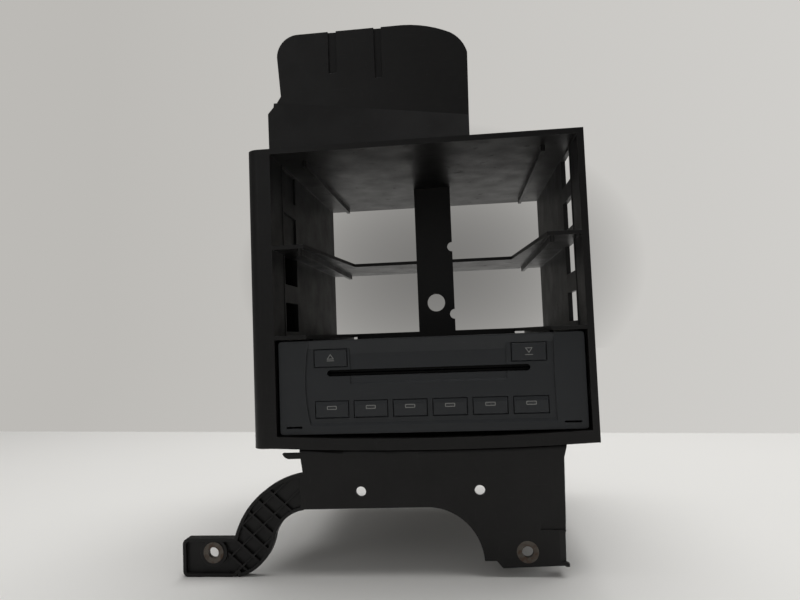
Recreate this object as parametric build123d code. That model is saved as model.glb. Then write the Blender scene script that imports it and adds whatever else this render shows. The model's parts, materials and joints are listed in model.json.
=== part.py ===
"""Car CD changer in a moulded dash carrier, as separate pieces at their real size.

Axes: X across the face (right when seen from the front), Y into the dash, Z up.
The pieces are drawn round the centre of the changer's face, on the plane of the carrier's
front rim, and are moved on export so that the origin is the middle of the line between the
two steel-bushed bolt holes.  All lengths are in millimetres.
"""
import math
import os

from build123d import *

# ---------------------------------------------------------------- carrier moulding
CARRIER_DEPTH = 190.0
BAY_HALF_WIDTH = 95.5           # inner half width over the lead-in band
LEAD_IN_DEPTH = 24.5            # lead-in band behind the rim
LEAD_IN_STEP = 0.4              # the bay narrows by this behind the band
SIDE_WALL = 2.5
RIM_BEAD = 1.6                  # bead outside the right rim
RIM_BEAD_DEPTH = 6.0
FACE_HALF_HEIGHT = 29.0         # of the changer's face, which the lowest bay is made for
FACE_FLOOR_FIT = 0.6
FACE_SHELF_FIT = 1.2
FACE_SIDE_FIT = 1.5
FACE_HALF_WIDTH = BAY_HALF_WIDTH - FACE_SIDE_FIT
FLOOR_TOP = -FACE_HALF_HEIGHT - FACE_FLOOR_FIT
FLOOR_THICKNESS = 2.5
RAIL_HEIGHT = 7.15              # front rail at its ends
RAIL_BOW = 2.4                  # how far the rail's lower edge bows down
FLOOR_BOW = 2.5                 # and how far the floor sags behind it, over the lead-in
FLOOR_BITE = 0.5                # how far what hangs under the floor runs into it
RAIL_DEPTH = 3.0
RAIL_BOTTOM = FLOOR_TOP - RAIL_HEIGHT
SHELF_THICKNESS = 2.5
MIDDLE_BAY_HEIGHT = 54.5
UPPER_BAY_HEIGHT = 58.8
TOP_THICKNESS = 3.5
LOW_SHELF_TOP = FACE_HALF_HEIGHT + FACE_SHELF_FIT + SHELF_THICKNESS
MID_SHELF_TOP = LOW_SHELF_TOP + MIDDLE_BAY_HEIGHT + SHELF_THICKNESS
TOP_INNER = MID_SHELF_TOP + UPPER_BAY_HEIGHT
TOP_OUTER = TOP_INNER + TOP_THICKNESS
RECESS_MARGIN = 20.5            # from the bay's side to the shelf recess, at the front
RECESS_TAPER = 12.0
RECESS_FRONT_HALF = BAY_HALF_WIDTH - RECESS_MARGIN
RECESS_BACK_HALF = RECESS_FRONT_HALF - RECESS_TAPER
RECESS_DEPTH = 116.0
SHELF_RIB_X = RECESS_FRONT_HALF + 3.0
SHELF_RIB_WIDTH = 2.5
SHELF_RIB_DROP = 4.0
SHELF_RIB_START = 1.5
TOP_RIB_START = 20.0            # the top wall's ribs start further back
SHELF_RIB_END = CARRIER_DEPTH - 12.0
LOW_RIB_GAP = 2.0               # the low shelf's ribs start this far behind the face's rim
EDGE_RIB_WIDTH = 2.0            # rib under the low shelf along the back of its recess
EDGE_RIB_DROP = 3.0
PILLAR_WIDTH = 16.0             # half-round flange outside the left wall
PILLAR_DEPTH = 60.0
PILLAR_CORNER = 8.0
PILLAR_WALL = 2.2
POST_X = 2.0                    # centre of the post between the two shelves and the top
POST_WIDTH = 29.0
POST_THICKNESS = 2.5
POST_HOLE_RADIUS = 7.0
POST_HOLE_Z = LOW_SHELF_TOP + 22.7
POST_NOTCH_RADIUS = 3.9
POST_NOTCH_HEIGHTS = (LOW_SHELF_TOP + 13.2, MID_SHELF_TOP + 10.4)
SNAP_WINDOW_Y = 30.0            # snap windows in the side walls
SNAP_WINDOW_DEPTH = 18.0
SNAP_WINDOW_HEIGHT = 18.0
BAY_WINDOW_Y = 26.5             # the two upper bays have longer ones
BAY_WINDOW_DEPTH = 30.0
BAY_WINDOW_HEIGHT = 19.5
MIDDLE_BAY_WINDOWS = (12.8, 44.8)       # window centres above the shelf
UPPER_BAY_WINDOWS = (17.3, 47.3)
BLIND_WINDOW_DEPTH = 1.2
FLOOR_RAIL_WIDTH = 6.0
FLOOR_RAIL_FRONT = 26.0
LUG_TOP = RAIL_BOTTOM - 3.3     # round-ended lug beside the top of the skirt
LUG_HEIGHT = 3.3
LUG_LENGTH = 10.9
LUG_ROUND = 5.3                 # length of its rounded end
LUG_DEPTHS = (1.0, 4.5)


# ---------------------------------------------------------------- top plate of the carrier
PLATE_THICKNESS = 2.5
PLATE_SETBACK = 10.4            # how far the upper facet's left edge stands behind the rim
PLATE_SETBACK_RIGHT = 4.4       # and its right edge
PLATE_RISE = 3.3                # height the sloping facet gains for each length that it goes back
PLATE_LEFT_FOOT = -BAY_HALF_WIDTH + 0.2
PLATE_LEFT_LOW = PLATE_LEFT_FOOT - 3.0
PLATE_LEFT_NOTCH_LOW = TOP_OUTER + 25.5
PLATE_LEFT_NOTCH_HIGH = PLATE_LEFT_NOTCH_LOW + 12.0
PLATE_LEFT_HIGH = PLATE_LEFT_LOW + 8.2
PLATE_LEFT_TOP = PLATE_LEFT_LOW + 6.3
PLATE_CORNER_RADIUS = 14.0
PLATE_TOP = TOP_OUTER + 77.9
PLATE_SHOULDER = ((-8.0, 1.4), (9.6, 4.5), (22.0, 9.5))        # long round: place, drop from the top
PLATE_CORNER = ((29.3, 16.6), (32.2, 23.4))                    # and the tighter one that ends it
PLATE_RIGHT = PLATE_CORNER[-1][0]
PLATE_RIGHT_FOOT = PLATE_RIGHT - 1.0
GROOVE_DEPTH = 1.6
GROOVES = ((43.7, 5.4, 28.0), (73.7, 4.8, 34.2))        # from the left edge, width, length
GUSSET_WIDTH = 2.2
GUSSET_LENGTH = 22.0

# ---------------------------------------------------------------- skirt, arm and bolt pads
BOLT_Z = -99.6                  # the two steel-bushed holes
BOLT_RIGHT_X = 54.3
BOLT_LEFT_X = -137.6
BOLT_HOLE_RADIUS = 3.3
BUSH_RADIUS = 6.4
BUSH_LENGTH = 3.0
BUSH_BOSS_WALL = 2.2
SKIRT_THICKNESS = 2.5
SKIRT_LEFT = -BAY_HALF_WIDTH + 15.8
SKIRT_RIGHT = BAY_HALF_WIDTH - 17.4
SKIRT_FLARE = 2.0               # how much wider the skirt is on each side where it meets the rail
SKIRT_FLARE_LOW = RAIL_BOTTOM - 8.2     # where the right flare ends
SKIRT_RIGHT_LEAN = 1.7          # how far the right edge comes in towards the foot
SKIRT_ROUND = 2.2               # radius of the skirt's edge under the rail
SKIRT_ROOT = (2.0, 4.5)         # depths of the wall that joins the skirt to the floor
SKIRT_FACE_TOP = RAIL_BOTTOM - 13.25    # level that the holes are measured from
SKIRT_BOTTOM = BOLT_Z - 9.3
SKIRT_BOTTOM_RISE = 1.5         # the foot's edge rises by this to the right
SKIRT_TOE = 3.6
SKIRT_FLANGE = 2.4
SKIRT_FLANGE_DEPTH = 10.0
SKIRT_FLANGE_ROOT = 16.0        # depth of the side flange at the floor
SKIRT_HOLE_RADIUS = 3.1
SKIRT_HOLE_Z = SKIRT_FACE_TOP - 13.5
SKIRT_HOLES_X = (-43.9, 27.9)
ARCH_CENTRE_X = -5.3
ARCH_HALF_WIDTH = 34.3
ARCH_SPRING = SKIRT_BOTTOM + 4.2
ARCH_RISE = 31.6
SKIRT_NOTCH_X = ARCH_CENTRE_X + ARCH_HALF_WIDTH + 7.0
HEEL_WIDTH = 2.8                # small heel at the foot of the right edge
HEEL_HEIGHT = 1.8
HEEL_DROP = 0.7
LEDGE_Z = SKIRT_BOTTOM + 21.9   # ledge across the right leg, with a slope above it
LEDGE_SLOPE = 5.4
LEDGE_LEFT = BOLT_RIGHT_X + 8.2
LEDGE_DEPTH = 0.9
EDGE_BEVEL_LEFT = BOLT_RIGHT_X + 18.6   # bevel down the leg's right edge, below the ledge
EDGE_BEVEL_DEPTH = 1.6
PAD_LEFT = BOLT_LEFT_X - 19.8
PAD_RIGHT = BOLT_LEFT_X + 15.6
PAD_TOP = BOLT_Z + 8.6
PAD_BOTTOM = BOLT_Z - 14.7
PAD_CORNER = 3.5
PAD_LATTICE_LEFT = BOLT_LEFT_X + 9.4    # the lattice runs on into the pad as far as this
ARM_DEPTH = 6.0
ARM_WALL = 2.0
ARM_POCKET = 2.4                # depth of the pockets, front and back
ARM_RIB = 1.1
ARM_RIB_SETBACK = 0.4
ARM_RIB_PITCH = 9.2
ARM_RIB_LEAN = 48.0             # angle between each row of ribs and the upright
ARM_NODE = (BOLT_LEFT_X + 18.2, BOLT_Z + 4.0)   # where two ribs cross
ARM_RIB_REACH = 90.0
ARM_TOP = RAIL_BOTTOM - 15.45
SKIRT_BOTTOM_LEFT = ARM_TOP - 21.6
# the arm's corners, as shares of its width (from the skirt out) and of its height (from the top down)
ARM_SHOULDER = (0.698, 0.2254)
ARM_INNER_START = (0.0, 0.3527)
ARM_INNER_KNEE = (0.2736, 0.4348)
ARM_INNER_MIDDLE = (0.4363, 0.5926)
ARM_INNER_HEEL = (0.6321, 0.8631)
ARM_END_OVERLAP = (2.6, 2.2)    # how far the arm's outer edge runs into the pad

# ---------------------------------------------------------------- changer face
FACE_Y = 3.0                    # the face stands this far behind the rim
FACE_CORNER = 2.0
FACE_WALL = 3.1
FACE_RIM = 2.0
FACE_BACK = 22.0
CHEEK_WIDTH = 18.0
LOWER_BAND = 5.0
PANEL_HALF_WIDTH = FACE_HALF_WIDTH - CHEEK_WIDTH
PANEL_BOTTOM = -FACE_HALF_HEIGHT + LOWER_BAND
PANEL_RECESS = 0.9              # centre panel lies this far behind cheeks and lower band
PANEL_TOP_RIM = 0.9             # rim left above it
PANEL_TOP_SLOPE = 4.2           # heights of the slopes that lead into it
PANEL_LOW_SLOPE = 1.8
PANEL_LEFT_IN = 1.6             # its left corners are this far inside the cheek line
PANEL_LEFT_BOW = 2.9            # how far its sides bow outwards
PANEL_RIGHT_BOW = -0.5
DISC_KEYS = 6
KEY_ROW_MARGIN = 5.6
KEY_SPACING = 3.8
DISC_KEY_PITCH = (2 * PANEL_HALF_WIDTH - KEY_ROW_MARGIN) / DISC_KEYS
KEY_WIDTH = DISC_KEY_PITCH - KEY_SPACING
KEY_GAP = 0.4                   # running gap round every key
KEY_PROUD = 0.6
KEY_FLANGE = 0.8
KEY_FLANGE_THICKNESS = 1.0
KEY_BODY_BEHIND = 0.2           # play between the key's flange and the wall
KEY_CHAMFER = 0.5
TOP_KEY_BROW = (KEY_CHAMFER, KEY_CHAMFER)
DISC_KEY_BROW = (2.4, 0.8)      # height and depth of the sloping upper edge of a disc key
TOP_KEY_HEIGHT = 10.7
TOP_KEY_X = DISC_KEY_PITCH * (DISC_KEYS - 1) / 2
TOP_KEY_Z = FACE_HALF_HEIGHT - 11.2
TOP_KEY_TRAVEL = 1.0
DISC_KEY_HEIGHT = 10.0
DISC_KEY_Z = -FACE_HALF_HEIGHT + 15.0
DISC_KEY_TRAVEL = 0.8
SLOT_Z = TOP_KEY_Z - 9.4
SLOT_X = -1.0
SLOT_LENGTH = 125.0
SLOT_HEIGHT = 4.0
SCOOP_X = -0.8
SCOOP_LENGTH = 2 * TOP_KEY_X - KEY_WIDTH - 5.0
SCOOP_DEPTH = 0.8               # behind the centre panel
SCOOP_SLOPE_FOOT = SLOT_Z + 11.8        # where its upper slope ends
SCOOP_LIP = SLOT_Z - 7.1        # lower edge, with a short slope above it
SCOOP_LIP_HEIGHT = 1.2
RELEASE_SLOT_X = FACE_HALF_WIDTH - 9.0
RELEASE_SLOT_Z = -FACE_HALF_HEIGHT + 4.4
RELEASE_SLOT_LENGTH = 10.0
RELEASE_SLOT_HEIGHT = 1.2
FACE_LUG_WIDTH = 12.0
FACE_LUG_DEPTH = 3.0            # how far the lugs reach forward of the case's front edge

# ---------------------------------------------------------------- changer case
DISC_PLAY = 5.0                 # the slot is longer than the disc is wide
DISC_RADIUS = (SLOT_LENGTH - DISC_PLAY) / 2
DISC_THICKNESS = 1.2
ROLLER_Y = 30.0
DISC_Y = ROLLER_Y + DISC_RADIUS + 18.0  # centre of the stored discs
CASE_SHEET = 1.0
CASE_HALF_WIDTH = FACE_HALF_WIDTH - 5.0
CASE_HALF_HEIGHT = FACE_HALF_HEIGHT - 4.0
CASE_FRONT = 18.0
CASE_BACK = DISC_Y + DISC_RADIUS + 16.0
FLOOR_RAIL_X = CASE_HALF_WIDTH - 29.0   # rails on the floor that carry the case
FACE_LUG_X = CASE_HALF_WIDTH - 19.0
COVER_SKIRT = 10.0              # depth of the cover's folded flanges
COVER_START = 5.0               # the flanges start this far behind the case's front edge
SCREW_HEAD_RADIUS = 2.6
SCREW_HEAD = 1.2
SCREW_RADIUS = 1.3
SCREW_LENGTH = 4.0
SCREW_Z = CASE_HALF_HEIGHT - 5.5
SCREWS_Y = (60.0, 140.0)
SPRING_SHEET = 0.6
SPRING_HEIGHT = 12.0
SPRING_START = 24.0
SPRING_REACH = 5.6              # how far the spring bows out from the case
SPRING_HOOK = 2.0

# ---------------------------------------------------------------- behind the face
FELT_THICKNESS = 1.0
FELT_REACH = 2.7
FELT_GAP = 0.8
BOARD_Y = 12.0
BOARD_THICKNESS = 1.6
BOARD_HALF_WIDTH = FACE_HALF_WIDTH - 6.0
BOARD_HALF_HEIGHT = FACE_HALF_HEIGHT - 5.0
BOARD_WINDOW_HALF = DISC_RADIUS + 8.0
BOARD_WINDOW_LOW = SLOT_Z - 6.0
BOARD_WINDOW_HIGH = SLOT_Z + 6.0
MAT_THICKNESS = 1.0
MAT_HALF_WIDTH = BOARD_HALF_WIDTH - 8.0
MAT_BOTTOM = DISC_KEY_Z - 7.5
MAT_TOP = TOP_KEY_Z + 5.7
MAT_WINDOW_HALF = BOARD_WINDOW_HALF + 1.0
MAT_WINDOW_LOW = SLOT_Z - 8.4
MAT_WINDOW_HIGH = SLOT_Z + 3.4
DOME_RADIUS = 2.6
DOME_GAP = 0.1                  # left between a pressed key and its rubber dome
LED_SIZE = 2.0
LED_HEIGHT = 1.6
LED_OFFSET = 6.0                # along the key from the dome
LED_HOLE_GAP = 0.3
LIGHT_BAR_HEIGHT = 1.6
LIGHT_BAR_THICKNESS = 1.2
LIGHT_BAR_LENGTH = 2 * PANEL_HALF_WIDTH - 4.0
LIGHT_BAR_GAP = 0.4
BOARD_POST_X = BOARD_HALF_WIDTH - 4.0
BOARD_POST_Z = BOARD_HALF_HEIGHT - 5.0
BOARD_POST_RADIUS = 2.5
BOARD_SCREW_RADIUS = 1.2
BOARD_SCREW_HEAD_RADIUS = 2.4
BOARD_SCREW_HEAD = 1.0
BOARD_SCREW_DEPTH = 4.0

# ---------------------------------------------------------------- worked-out places of the case
ORIGIN_X = (BOLT_LEFT_X + BOLT_RIGHT_X) / 2
TO_ORIGIN = Pos(-ORIGIN_X, 0, -BOLT_Z)
WALL_OUTER = BAY_HALF_WIDTH + SIDE_WALL
BAY_BACK_HALF = BAY_HALF_WIDTH - LEAD_IN_STEP
FLOOR_BOTTOM = FLOOR_TOP - FLOOR_THICKNESS
SNAP_WINDOWS_LEFT = (0.0,) + tuple(LOW_SHELF_TOP + up for up in MIDDLE_BAY_WINDOWS)
BLIND_WINDOWS_LEFT = tuple(MID_SHELF_TOP + up for up in UPPER_BAY_WINDOWS)
SNAP_WINDOWS_RIGHT = SNAP_WINDOWS_LEFT + BLIND_WINDOWS_LEFT
CASE_FLOOR = -CASE_HALF_HEIGHT + CASE_SHEET
CASE_TOP_INNER = CASE_HALF_HEIGHT - CASE_SHEET
CASE_INNER_HALF = CASE_HALF_WIDTH - CASE_SHEET
FACE_WALL_BACK = FACE_Y + FACE_WALL
PANEL_Y = FACE_Y + PANEL_RECESS
KEY_FRONT = PANEL_Y - KEY_PROUD
KEY_FLANGE_FRONT = FACE_WALL_BACK + KEY_BODY_BEHIND
KEY_BACK = KEY_FLANGE_FRONT + KEY_FLANGE_THICKNESS
MAT_FRONT = BOARD_Y - MAT_THICKNESS
DISC_KEY_CENTRES = tuple(DISC_KEY_PITCH * (i - (DISC_KEYS - 1) / 2) for i in range(DISC_KEYS))
TOP_KEY_CENTRES = (-TOP_KEY_X, TOP_KEY_X)

# ---------------------------------------------------------------- loading drive
ROLLER_RADIUS = 4.5
ROLLER_INNER = 8.0
ROLLER_OUTER = DISC_RADIUS - 2.0
ROLLER_Z = SLOT_Z - DISC_THICKNESS / 2 - ROLLER_RADIUS
SHAFT_RADIUS = 1.5
RUNNING_FIT = 0.06              # radial clearance of every shaft in its bearing
ROLLER_BUSH_RADIUS = 3.2
ROLLER_BUSH_FLANGE = 5.0
ROLLER_BUSH_FLANGE_THICKNESS = 1.5
ROLLER_SHAFT_END = 0.4          # shaft ends inside the case's outer face
GEAR_MODULE = 0.8
ROLLER_TEETH = 20
IDLER_TEETH = 20
LOAD_PINION_TEETH = 10
GEAR_WIDTH = 4.0
GEAR_X = CASE_INNER_HALF - 8.0  # inner face of the loading gears
GEAR_PLATE_X = GEAR_X - 2.5
GEAR_PLATE_THICKNESS = 1.0
GEAR_PLATE_FRONT = 19.0
GEAR_PLATE_FOOT = 9.0
IDLER_FLOOR_GAP = 12.47         # idler's axis above the case's floor
LOAD_PINION_ANGLE = 203.5       # direction from idler to pinion
LOAD_MOTOR_RADIUS = 6.4
LOAD_MOTOR_LENGTH = 24.0
MOTOR_SHAFT_RADIUS = 1.0
MOTOR_SHAFT_DEPTH = 7.0         # length of a motor's shaft inside its can
MOTOR_BOSS_RADIUS = 2.5
IDLER_DISTANCE = GEAR_MODULE * (ROLLER_TEETH + IDLER_TEETH) / 2
IDLER_Z = CASE_FLOOR + IDLER_FLOOR_GAP
IDLER_Y = ROLLER_Y + math.sqrt(IDLER_DISTANCE ** 2 - (ROLLER_Z - IDLER_Z) ** 2)
IDLER_ANGLE = math.degrees(math.atan2(IDLER_Z - ROLLER_Z, IDLER_Y - ROLLER_Y))
LOAD_PINION_DISTANCE = GEAR_MODULE * (IDLER_TEETH + LOAD_PINION_TEETH) / 2
LOAD_PINION_Y = IDLER_Y + LOAD_PINION_DISTANCE * math.cos(math.radians(LOAD_PINION_ANGLE))
LOAD_PINION_Z = IDLER_Z + LOAD_PINION_DISTANCE * math.sin(math.radians(LOAD_PINION_ANGLE))
GEAR_PLATE_BACK = IDLER_Y + 6.0
GEAR_PLATE_TOP = IDLER_Z + 9.5
GUIDE_GAP = 0.4
GUIDE_THICKNESS = 1.6
GUIDE_HALF = GEAR_PLATE_X - 2.5
GUIDE_FRONT = 24.0
GUIDE_BACK = 42.0
GUIDE_LUG_Z = SLOT_Z + 5.6

# ---------------------------------------------------------------- disc lift
TRAYS = 6
TRAY_THICKNESS = 1.0
TOP_TRAY_Z = SLOT_Z - DISC_THICKNESS / 2 - TRAY_THICKNESS
LOW_TRAY_Z = CASE_FLOOR + 16.8
TRAY_PITCH = (TOP_TRAY_Z - LOW_TRAY_Z) / (TRAYS - 1)
LIFT_TRAVEL = TOP_TRAY_Z - LOW_TRAY_Z
COMB_OUTER = CASE_INNER_HALF - 12.5
COMB_INNER = COMB_OUTER - 5.5
TRAY_HALF_WIDTH = COMB_OUTER - 2.0
TRAY_HALF_LENGTH = DISC_RADIUS - 18.0
TRAY_RING = DISC_RADIUS + 2.0
TRAY_SEAT_PLAY = 0.5
TRAY_HUB_OPENING = 20.0
TRAY_PICKUP_HALF = 21.0
TRAY_PICKUP_REACH = DISC_RADIUS - 4.0
TRAY_SEAT_DEPTH = 0.4
TRAY_PLAY = 0.1
COMB_HALF_LENGTH = TRAY_HALF_LENGTH + 2.0
COMB_ABOVE = 1.1
LIFT_BASE = 2.0                 # thickness of the lift frame's base ring
LIFT_BASE_GAP = 1.3             # base ring below the lowest tray
LIFT_OPENING_HALF = COMB_INNER - 4.0
LIFT_BASE_TOP = LOW_TRAY_Z - LIFT_BASE_GAP
LIFT_BOTTOM = LIFT_BASE_TOP - LIFT_BASE
LIFT_TOP = TOP_TRAY_Z + TRAY_THICKNESS + COMB_ABOVE
SPINDLE_X = COMB_INNER
SPINDLE_HALF_SPAN = DISC_RADIUS - 6.0   # spindles in front of and behind the disc centre
SPINDLE_RADIUS = 2.5
SPINDLE_PIN = 1.5
SPINDLE_FOOT_GAP = 0.1
SPINDLE_GEAR_TEETH = 18
SPINDLE_GEAR_BOTTOM = CASE_FLOOR + 1.4
SPINDLE_GEAR_WIDTH = 3.0
SPINDLE_GEAR_TOP = SPINDLE_GEAR_BOTTOM + SPINDLE_GEAR_WIDTH
SPINDLES = tuple(
    (side * SPINDLE_X, DISC_Y + end * SPINDLE_HALF_SPAN) for end in (-1, 1) for side in (-1, 1)
)
PULLEY_RADIUS = 6.0
PULLEY_WIDTH = 3.4
PULLEY_TOP = SPINDLE_GEAR_TOP + PULLEY_WIDTH
NUT_RADIUS = 5.0
BELT_GAP = 0.1
BELT_THICKNESS = 1.0
BELT_WIDTH = 2.8
LIFT_PINION_TEETH = 12
LIFT_PINION_ANGLE = 252.5
LIFT_PINION_DISTANCE = GEAR_MODULE * (SPINDLE_GEAR_TEETH + LIFT_PINION_TEETH) / 2
LIFT_PINION_X = SPINDLES[0][0] + LIFT_PINION_DISTANCE * math.cos(math.radians(LIFT_PINION_ANGLE))
LIFT_PINION_Y = SPINDLES[0][1] + LIFT_PINION_DISTANCE * math.sin(math.radians(LIFT_PINION_ANGLE))
LIFT_MOTOR_RADIUS = 6.0
LIFT_MOTOR_BOTTOM = CASE_FLOOR + 10.0
LIFT_MOTOR_LENGTH = 12.0
LIFT_BRACKET_SHEET = 1.0
LIFT_BRACKET_HALF = 7.0
LIFT_BRACKET_BACK = 5.0         # the bracket's plate reaches this far behind the pinion's axis
LIFT_BRACKET_LEG = 8.5          # its leg stands this far in front of it
LIFT_BRACKET_FOOT = 4.0

# ---------------------------------------------------------------- play deck
DECK_TOP = CASE_FLOOR + 5.5
DECK_SHEET = 1.0
DECK_LEFT = -34.0
DECK_RIGHT = COMB_OUTER - 1.5
DECK_FRONT = DISC_Y - 24.0
DECK_BACK = DISC_Y + 26.0
DAMPER_RADIUS = 3.5
DAMPER_NECK = 2.0
DAMPER_PROUD = 0.8
DAMPER_INSET = 6.0
SPINDLE_MOTOR_RADIUS = 11.0
SPINDLE_MOTOR_HEIGHT = 5.0
TURNTABLE_RADIUS = 10.0
TURNTABLE_GAP = 0.3
TURNTABLE_THICKNESS = 1.5
HUB_RADIUS = 7.4
HUB_TAPER = 1.2
HUB_HEIGHT = 2.2
SLED_AXIS_Z = DECK_TOP + 4.5
GUIDE_ROD_Y = DISC_Y - 16.0
LEAD_SCREW_Y = DISC_Y + 18.0
UPRIGHT_SHEET = 2.0
UPRIGHT_RIGHT = DECK_RIGHT - 4.0
UPRIGHT_LEFT = 16.0
SLED_LEFT = 20.0
SLED_WIDTH = 20.0
SLED_TRAVEL = UPRIGHT_RIGHT - SLED_LEFT - SLED_WIDTH - 2.0
SLED_HALF_HEIGHT = 2.6
SLED_OVERHANG = 3.6
LENS_RADIUS = 4.6
LENS_X = SLED_LEFT + 7.0
LENS_HEIGHT = 2.2
LENS_PROUD = 0.8
LENS_TRAVEL = 0.4
LENS_GAP = 0.2
SLED_MOTOR_RADIUS = 4.4
SLED_MOTOR_LENGTH = 12.0
LEAD_SCREW_DEPTH = 8.0          # length of the lead screw inside its motor

# ---------------------------------------------------------------- rear
MAIN_BOARD_Y = CASE_BACK - 8.0
MAIN_BOARD_THICKNESS = 1.6
MAIN_BOARD_HALF_WIDTH = CASE_INNER_HALF - 8.0
MAIN_BOARD_HALF_HEIGHT = CASE_HALF_HEIGHT - 4.0
STANDOFF_RADIUS = 2.0
STANDOFF_X = MAIN_BOARD_HALF_WIDTH - 6.0
STANDOFF_Z = MAIN_BOARD_HALF_HEIGHT - 5.0
SCREWS_BACK_X = (-STANDOFF_X + 4.0, STANDOFF_X - 4.0)
CONNECTOR_X = -40.0
CONNECTOR_WIDTH = 40.0
CONNECTOR_HEIGHT = 20.0
CONNECTOR_PROUD = 4.0
CONNECTOR_WALL = 1.5
CONNECTOR_FLOOR = 2.0
CONNECTOR_GAP = 0.3


# ---------------------------------------------------------------- shape helpers
def block(x0, x1, y0, y1, z0, z1):
    """Box between two corners."""
    return Pos((x0 + x1) / 2, (y0 + y1) / 2, (z0 + z1) / 2) * Box(x1 - x0, y1 - y0, z1 - z0)


def from_front(face, y0, y1):
    """Outline seen from the front (X, Z), made solid between two depths."""
    return Pos(0, y0, 0) * extrude(Plane.XZ * face, amount=y1 - y0, dir=(0, 1, 0))


def from_side(face, x0, x1):
    """Outline seen from the side (Y, Z), made solid between two widths."""
    return Pos(x0, 0, 0) * extrude(Plane.YZ * face, amount=x1 - x0)


def from_above(face, z0, z1):
    """Outline seen from above (X, Y), made solid between two heights."""
    return Pos(0, 0, z0) * extrude(face, amount=z1 - z0)


def polygon(*points):
    """Closed straight-sided outline."""
    return make_face(Polyline(*points, close=True))


def rod_x(radius, x0, x1, y, z):
    """Round bar along X."""
    return Pos((x0 + x1) / 2, y, z) * Rot(0, 90, 0) * Cylinder(radius, x1 - x0)


def rod_y(radius, x, y0, y1, z):
    """Round bar along Y."""
    return Pos(x, (y0 + y1) / 2, z) * Rot(90, 0, 0) * Cylinder(radius, y1 - y0)


def rod_z(radius, x, y, z0, z1):
    """Round bar along Z."""
    return Pos(x, y, (z0 + z1) / 2) * Cylinder(radius, z1 - z0)


def gear_outline(teeth, turned):
    """Spur gear outline, with backlash, first tooth turned by an angle in degrees."""
    pitch = GEAR_MODULE * teeth / 2
    tip = pitch + 0.85 * GEAR_MODULE
    root = pitch - 1.15 * GEAR_MODULE
    step = 2 * math.pi / teeth
    half_tip = 0.10 * step
    half_pitch = 0.22 * step
    half_root = 0.31 * step
    points = []
    for tooth in range(teeth):
        middle = math.radians(turned) + tooth * step
        flanks = ((root, -half_root), (pitch, -half_pitch), (tip, -half_tip))
        flanks += ((tip, half_tip), (pitch, half_pitch), (root, half_root))
        for radius, angle in flanks:
            points.append((radius * math.cos(middle + angle), radius * math.sin(middle + angle)))
    return polygon(*points)


def union(pieces):
    """All the pieces joined into one solid."""
    pieces = list(pieces)
    whole = pieces[0]
    for piece in pieces[1:]:
        whole += piece
    return whole


# ---------------------------------------------------------------- carrier
def sag(z, depth, half):
    """Front view of what hangs below a level edge that bows down in its middle."""
    return make_face([Line((-half, z), (half, z)), ThreePointArc((half, z), (0, z - depth), (-half, z))])


def carrier_box():
    """Side walls, top, floor and front rail round the three bays."""
    box = block(-WALL_OUTER, WALL_OUTER, 0, CARRIER_DEPTH, FLOOR_BOTTOM, TOP_OUTER)
    box -= block(-BAY_HALF_WIDTH, BAY_HALF_WIDTH, -1, LEAD_IN_DEPTH, FLOOR_TOP, TOP_INNER)
    box -= block(-BAY_BACK_HALF, BAY_BACK_HALF, 0, CARRIER_DEPTH + 1, FLOOR_TOP, TOP_INNER)
    box += block(WALL_OUTER, WALL_OUTER + RIM_BEAD, 0, RIM_BEAD_DEPTH, RAIL_BOTTOM, TOP_OUTER)
    box += block(-WALL_OUTER, WALL_OUTER, 0, RAIL_DEPTH, RAIL_BOTTOM, FLOOR_TOP)
    box += from_front(sag(RAIL_BOTTOM, RAIL_BOW, WALL_OUTER), 0, RAIL_DEPTH)
    box += from_front(sag(FLOOR_BOTTOM, FLOOR_BOW, BAY_HALF_WIDTH), 0, LEAD_IN_DEPTH + FLOOR_THICKNESS)
    return box - from_front(sag(FLOOR_TOP, FLOOR_BOW, BAY_HALF_WIDTH), -1, LEAD_IN_DEPTH)


def carrier_pillar():
    """Rounded hollow pillar in front of and beside the left wall."""
    outer_x = -WALL_OUTER - PILLAR_WIDTH + SIDE_WALL
    bend = PILLAR_CORNER * (1 - math.cos(math.radians(45)))
    section = make_face([
        Line((-BAY_HALF_WIDTH, 0), (outer_x + PILLAR_CORNER, 0)),
        ThreePointArc((outer_x + PILLAR_CORNER, 0), (outer_x + bend, bend), (outer_x, PILLAR_CORNER)),
        Line((outer_x, PILLAR_CORNER), (outer_x, PILLAR_DEPTH)),
        Line((outer_x, PILLAR_DEPTH), (-BAY_HALF_WIDTH, PILLAR_DEPTH)),
        Line((-BAY_HALF_WIDTH, PILLAR_DEPTH), (-BAY_HALF_WIDTH, 0)),
    ])
    inner_x = outer_x + PILLAR_WALL
    inner_corner = PILLAR_CORNER - PILLAR_WALL
    inner_bend = inner_corner * (1 - math.cos(math.radians(45)))
    inner_back = PILLAR_DEPTH - PILLAR_WALL
    hollow = make_face([
        Line((-WALL_OUTER, PILLAR_WALL), (inner_x + inner_corner, PILLAR_WALL)),
        ThreePointArc(
            (inner_x + inner_corner, PILLAR_WALL),
            (inner_x + inner_bend, PILLAR_WALL + inner_bend),
            (inner_x, PILLAR_CORNER),
        ),
        Line((inner_x, PILLAR_CORNER), (inner_x, inner_back)),
        Line((inner_x, inner_back), (-WALL_OUTER, inner_back)),
        Line((-WALL_OUTER, inner_back), (-WALL_OUTER, PILLAR_WALL)),
    ])
    flange = from_above(section, RAIL_BOTTOM, TOP_OUTER)
    floor = RAIL_BOTTOM + PILLAR_WALL
    ceiling = TOP_OUTER - PILLAR_WALL
    return flange - from_above(hollow, floor, ceiling)


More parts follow.
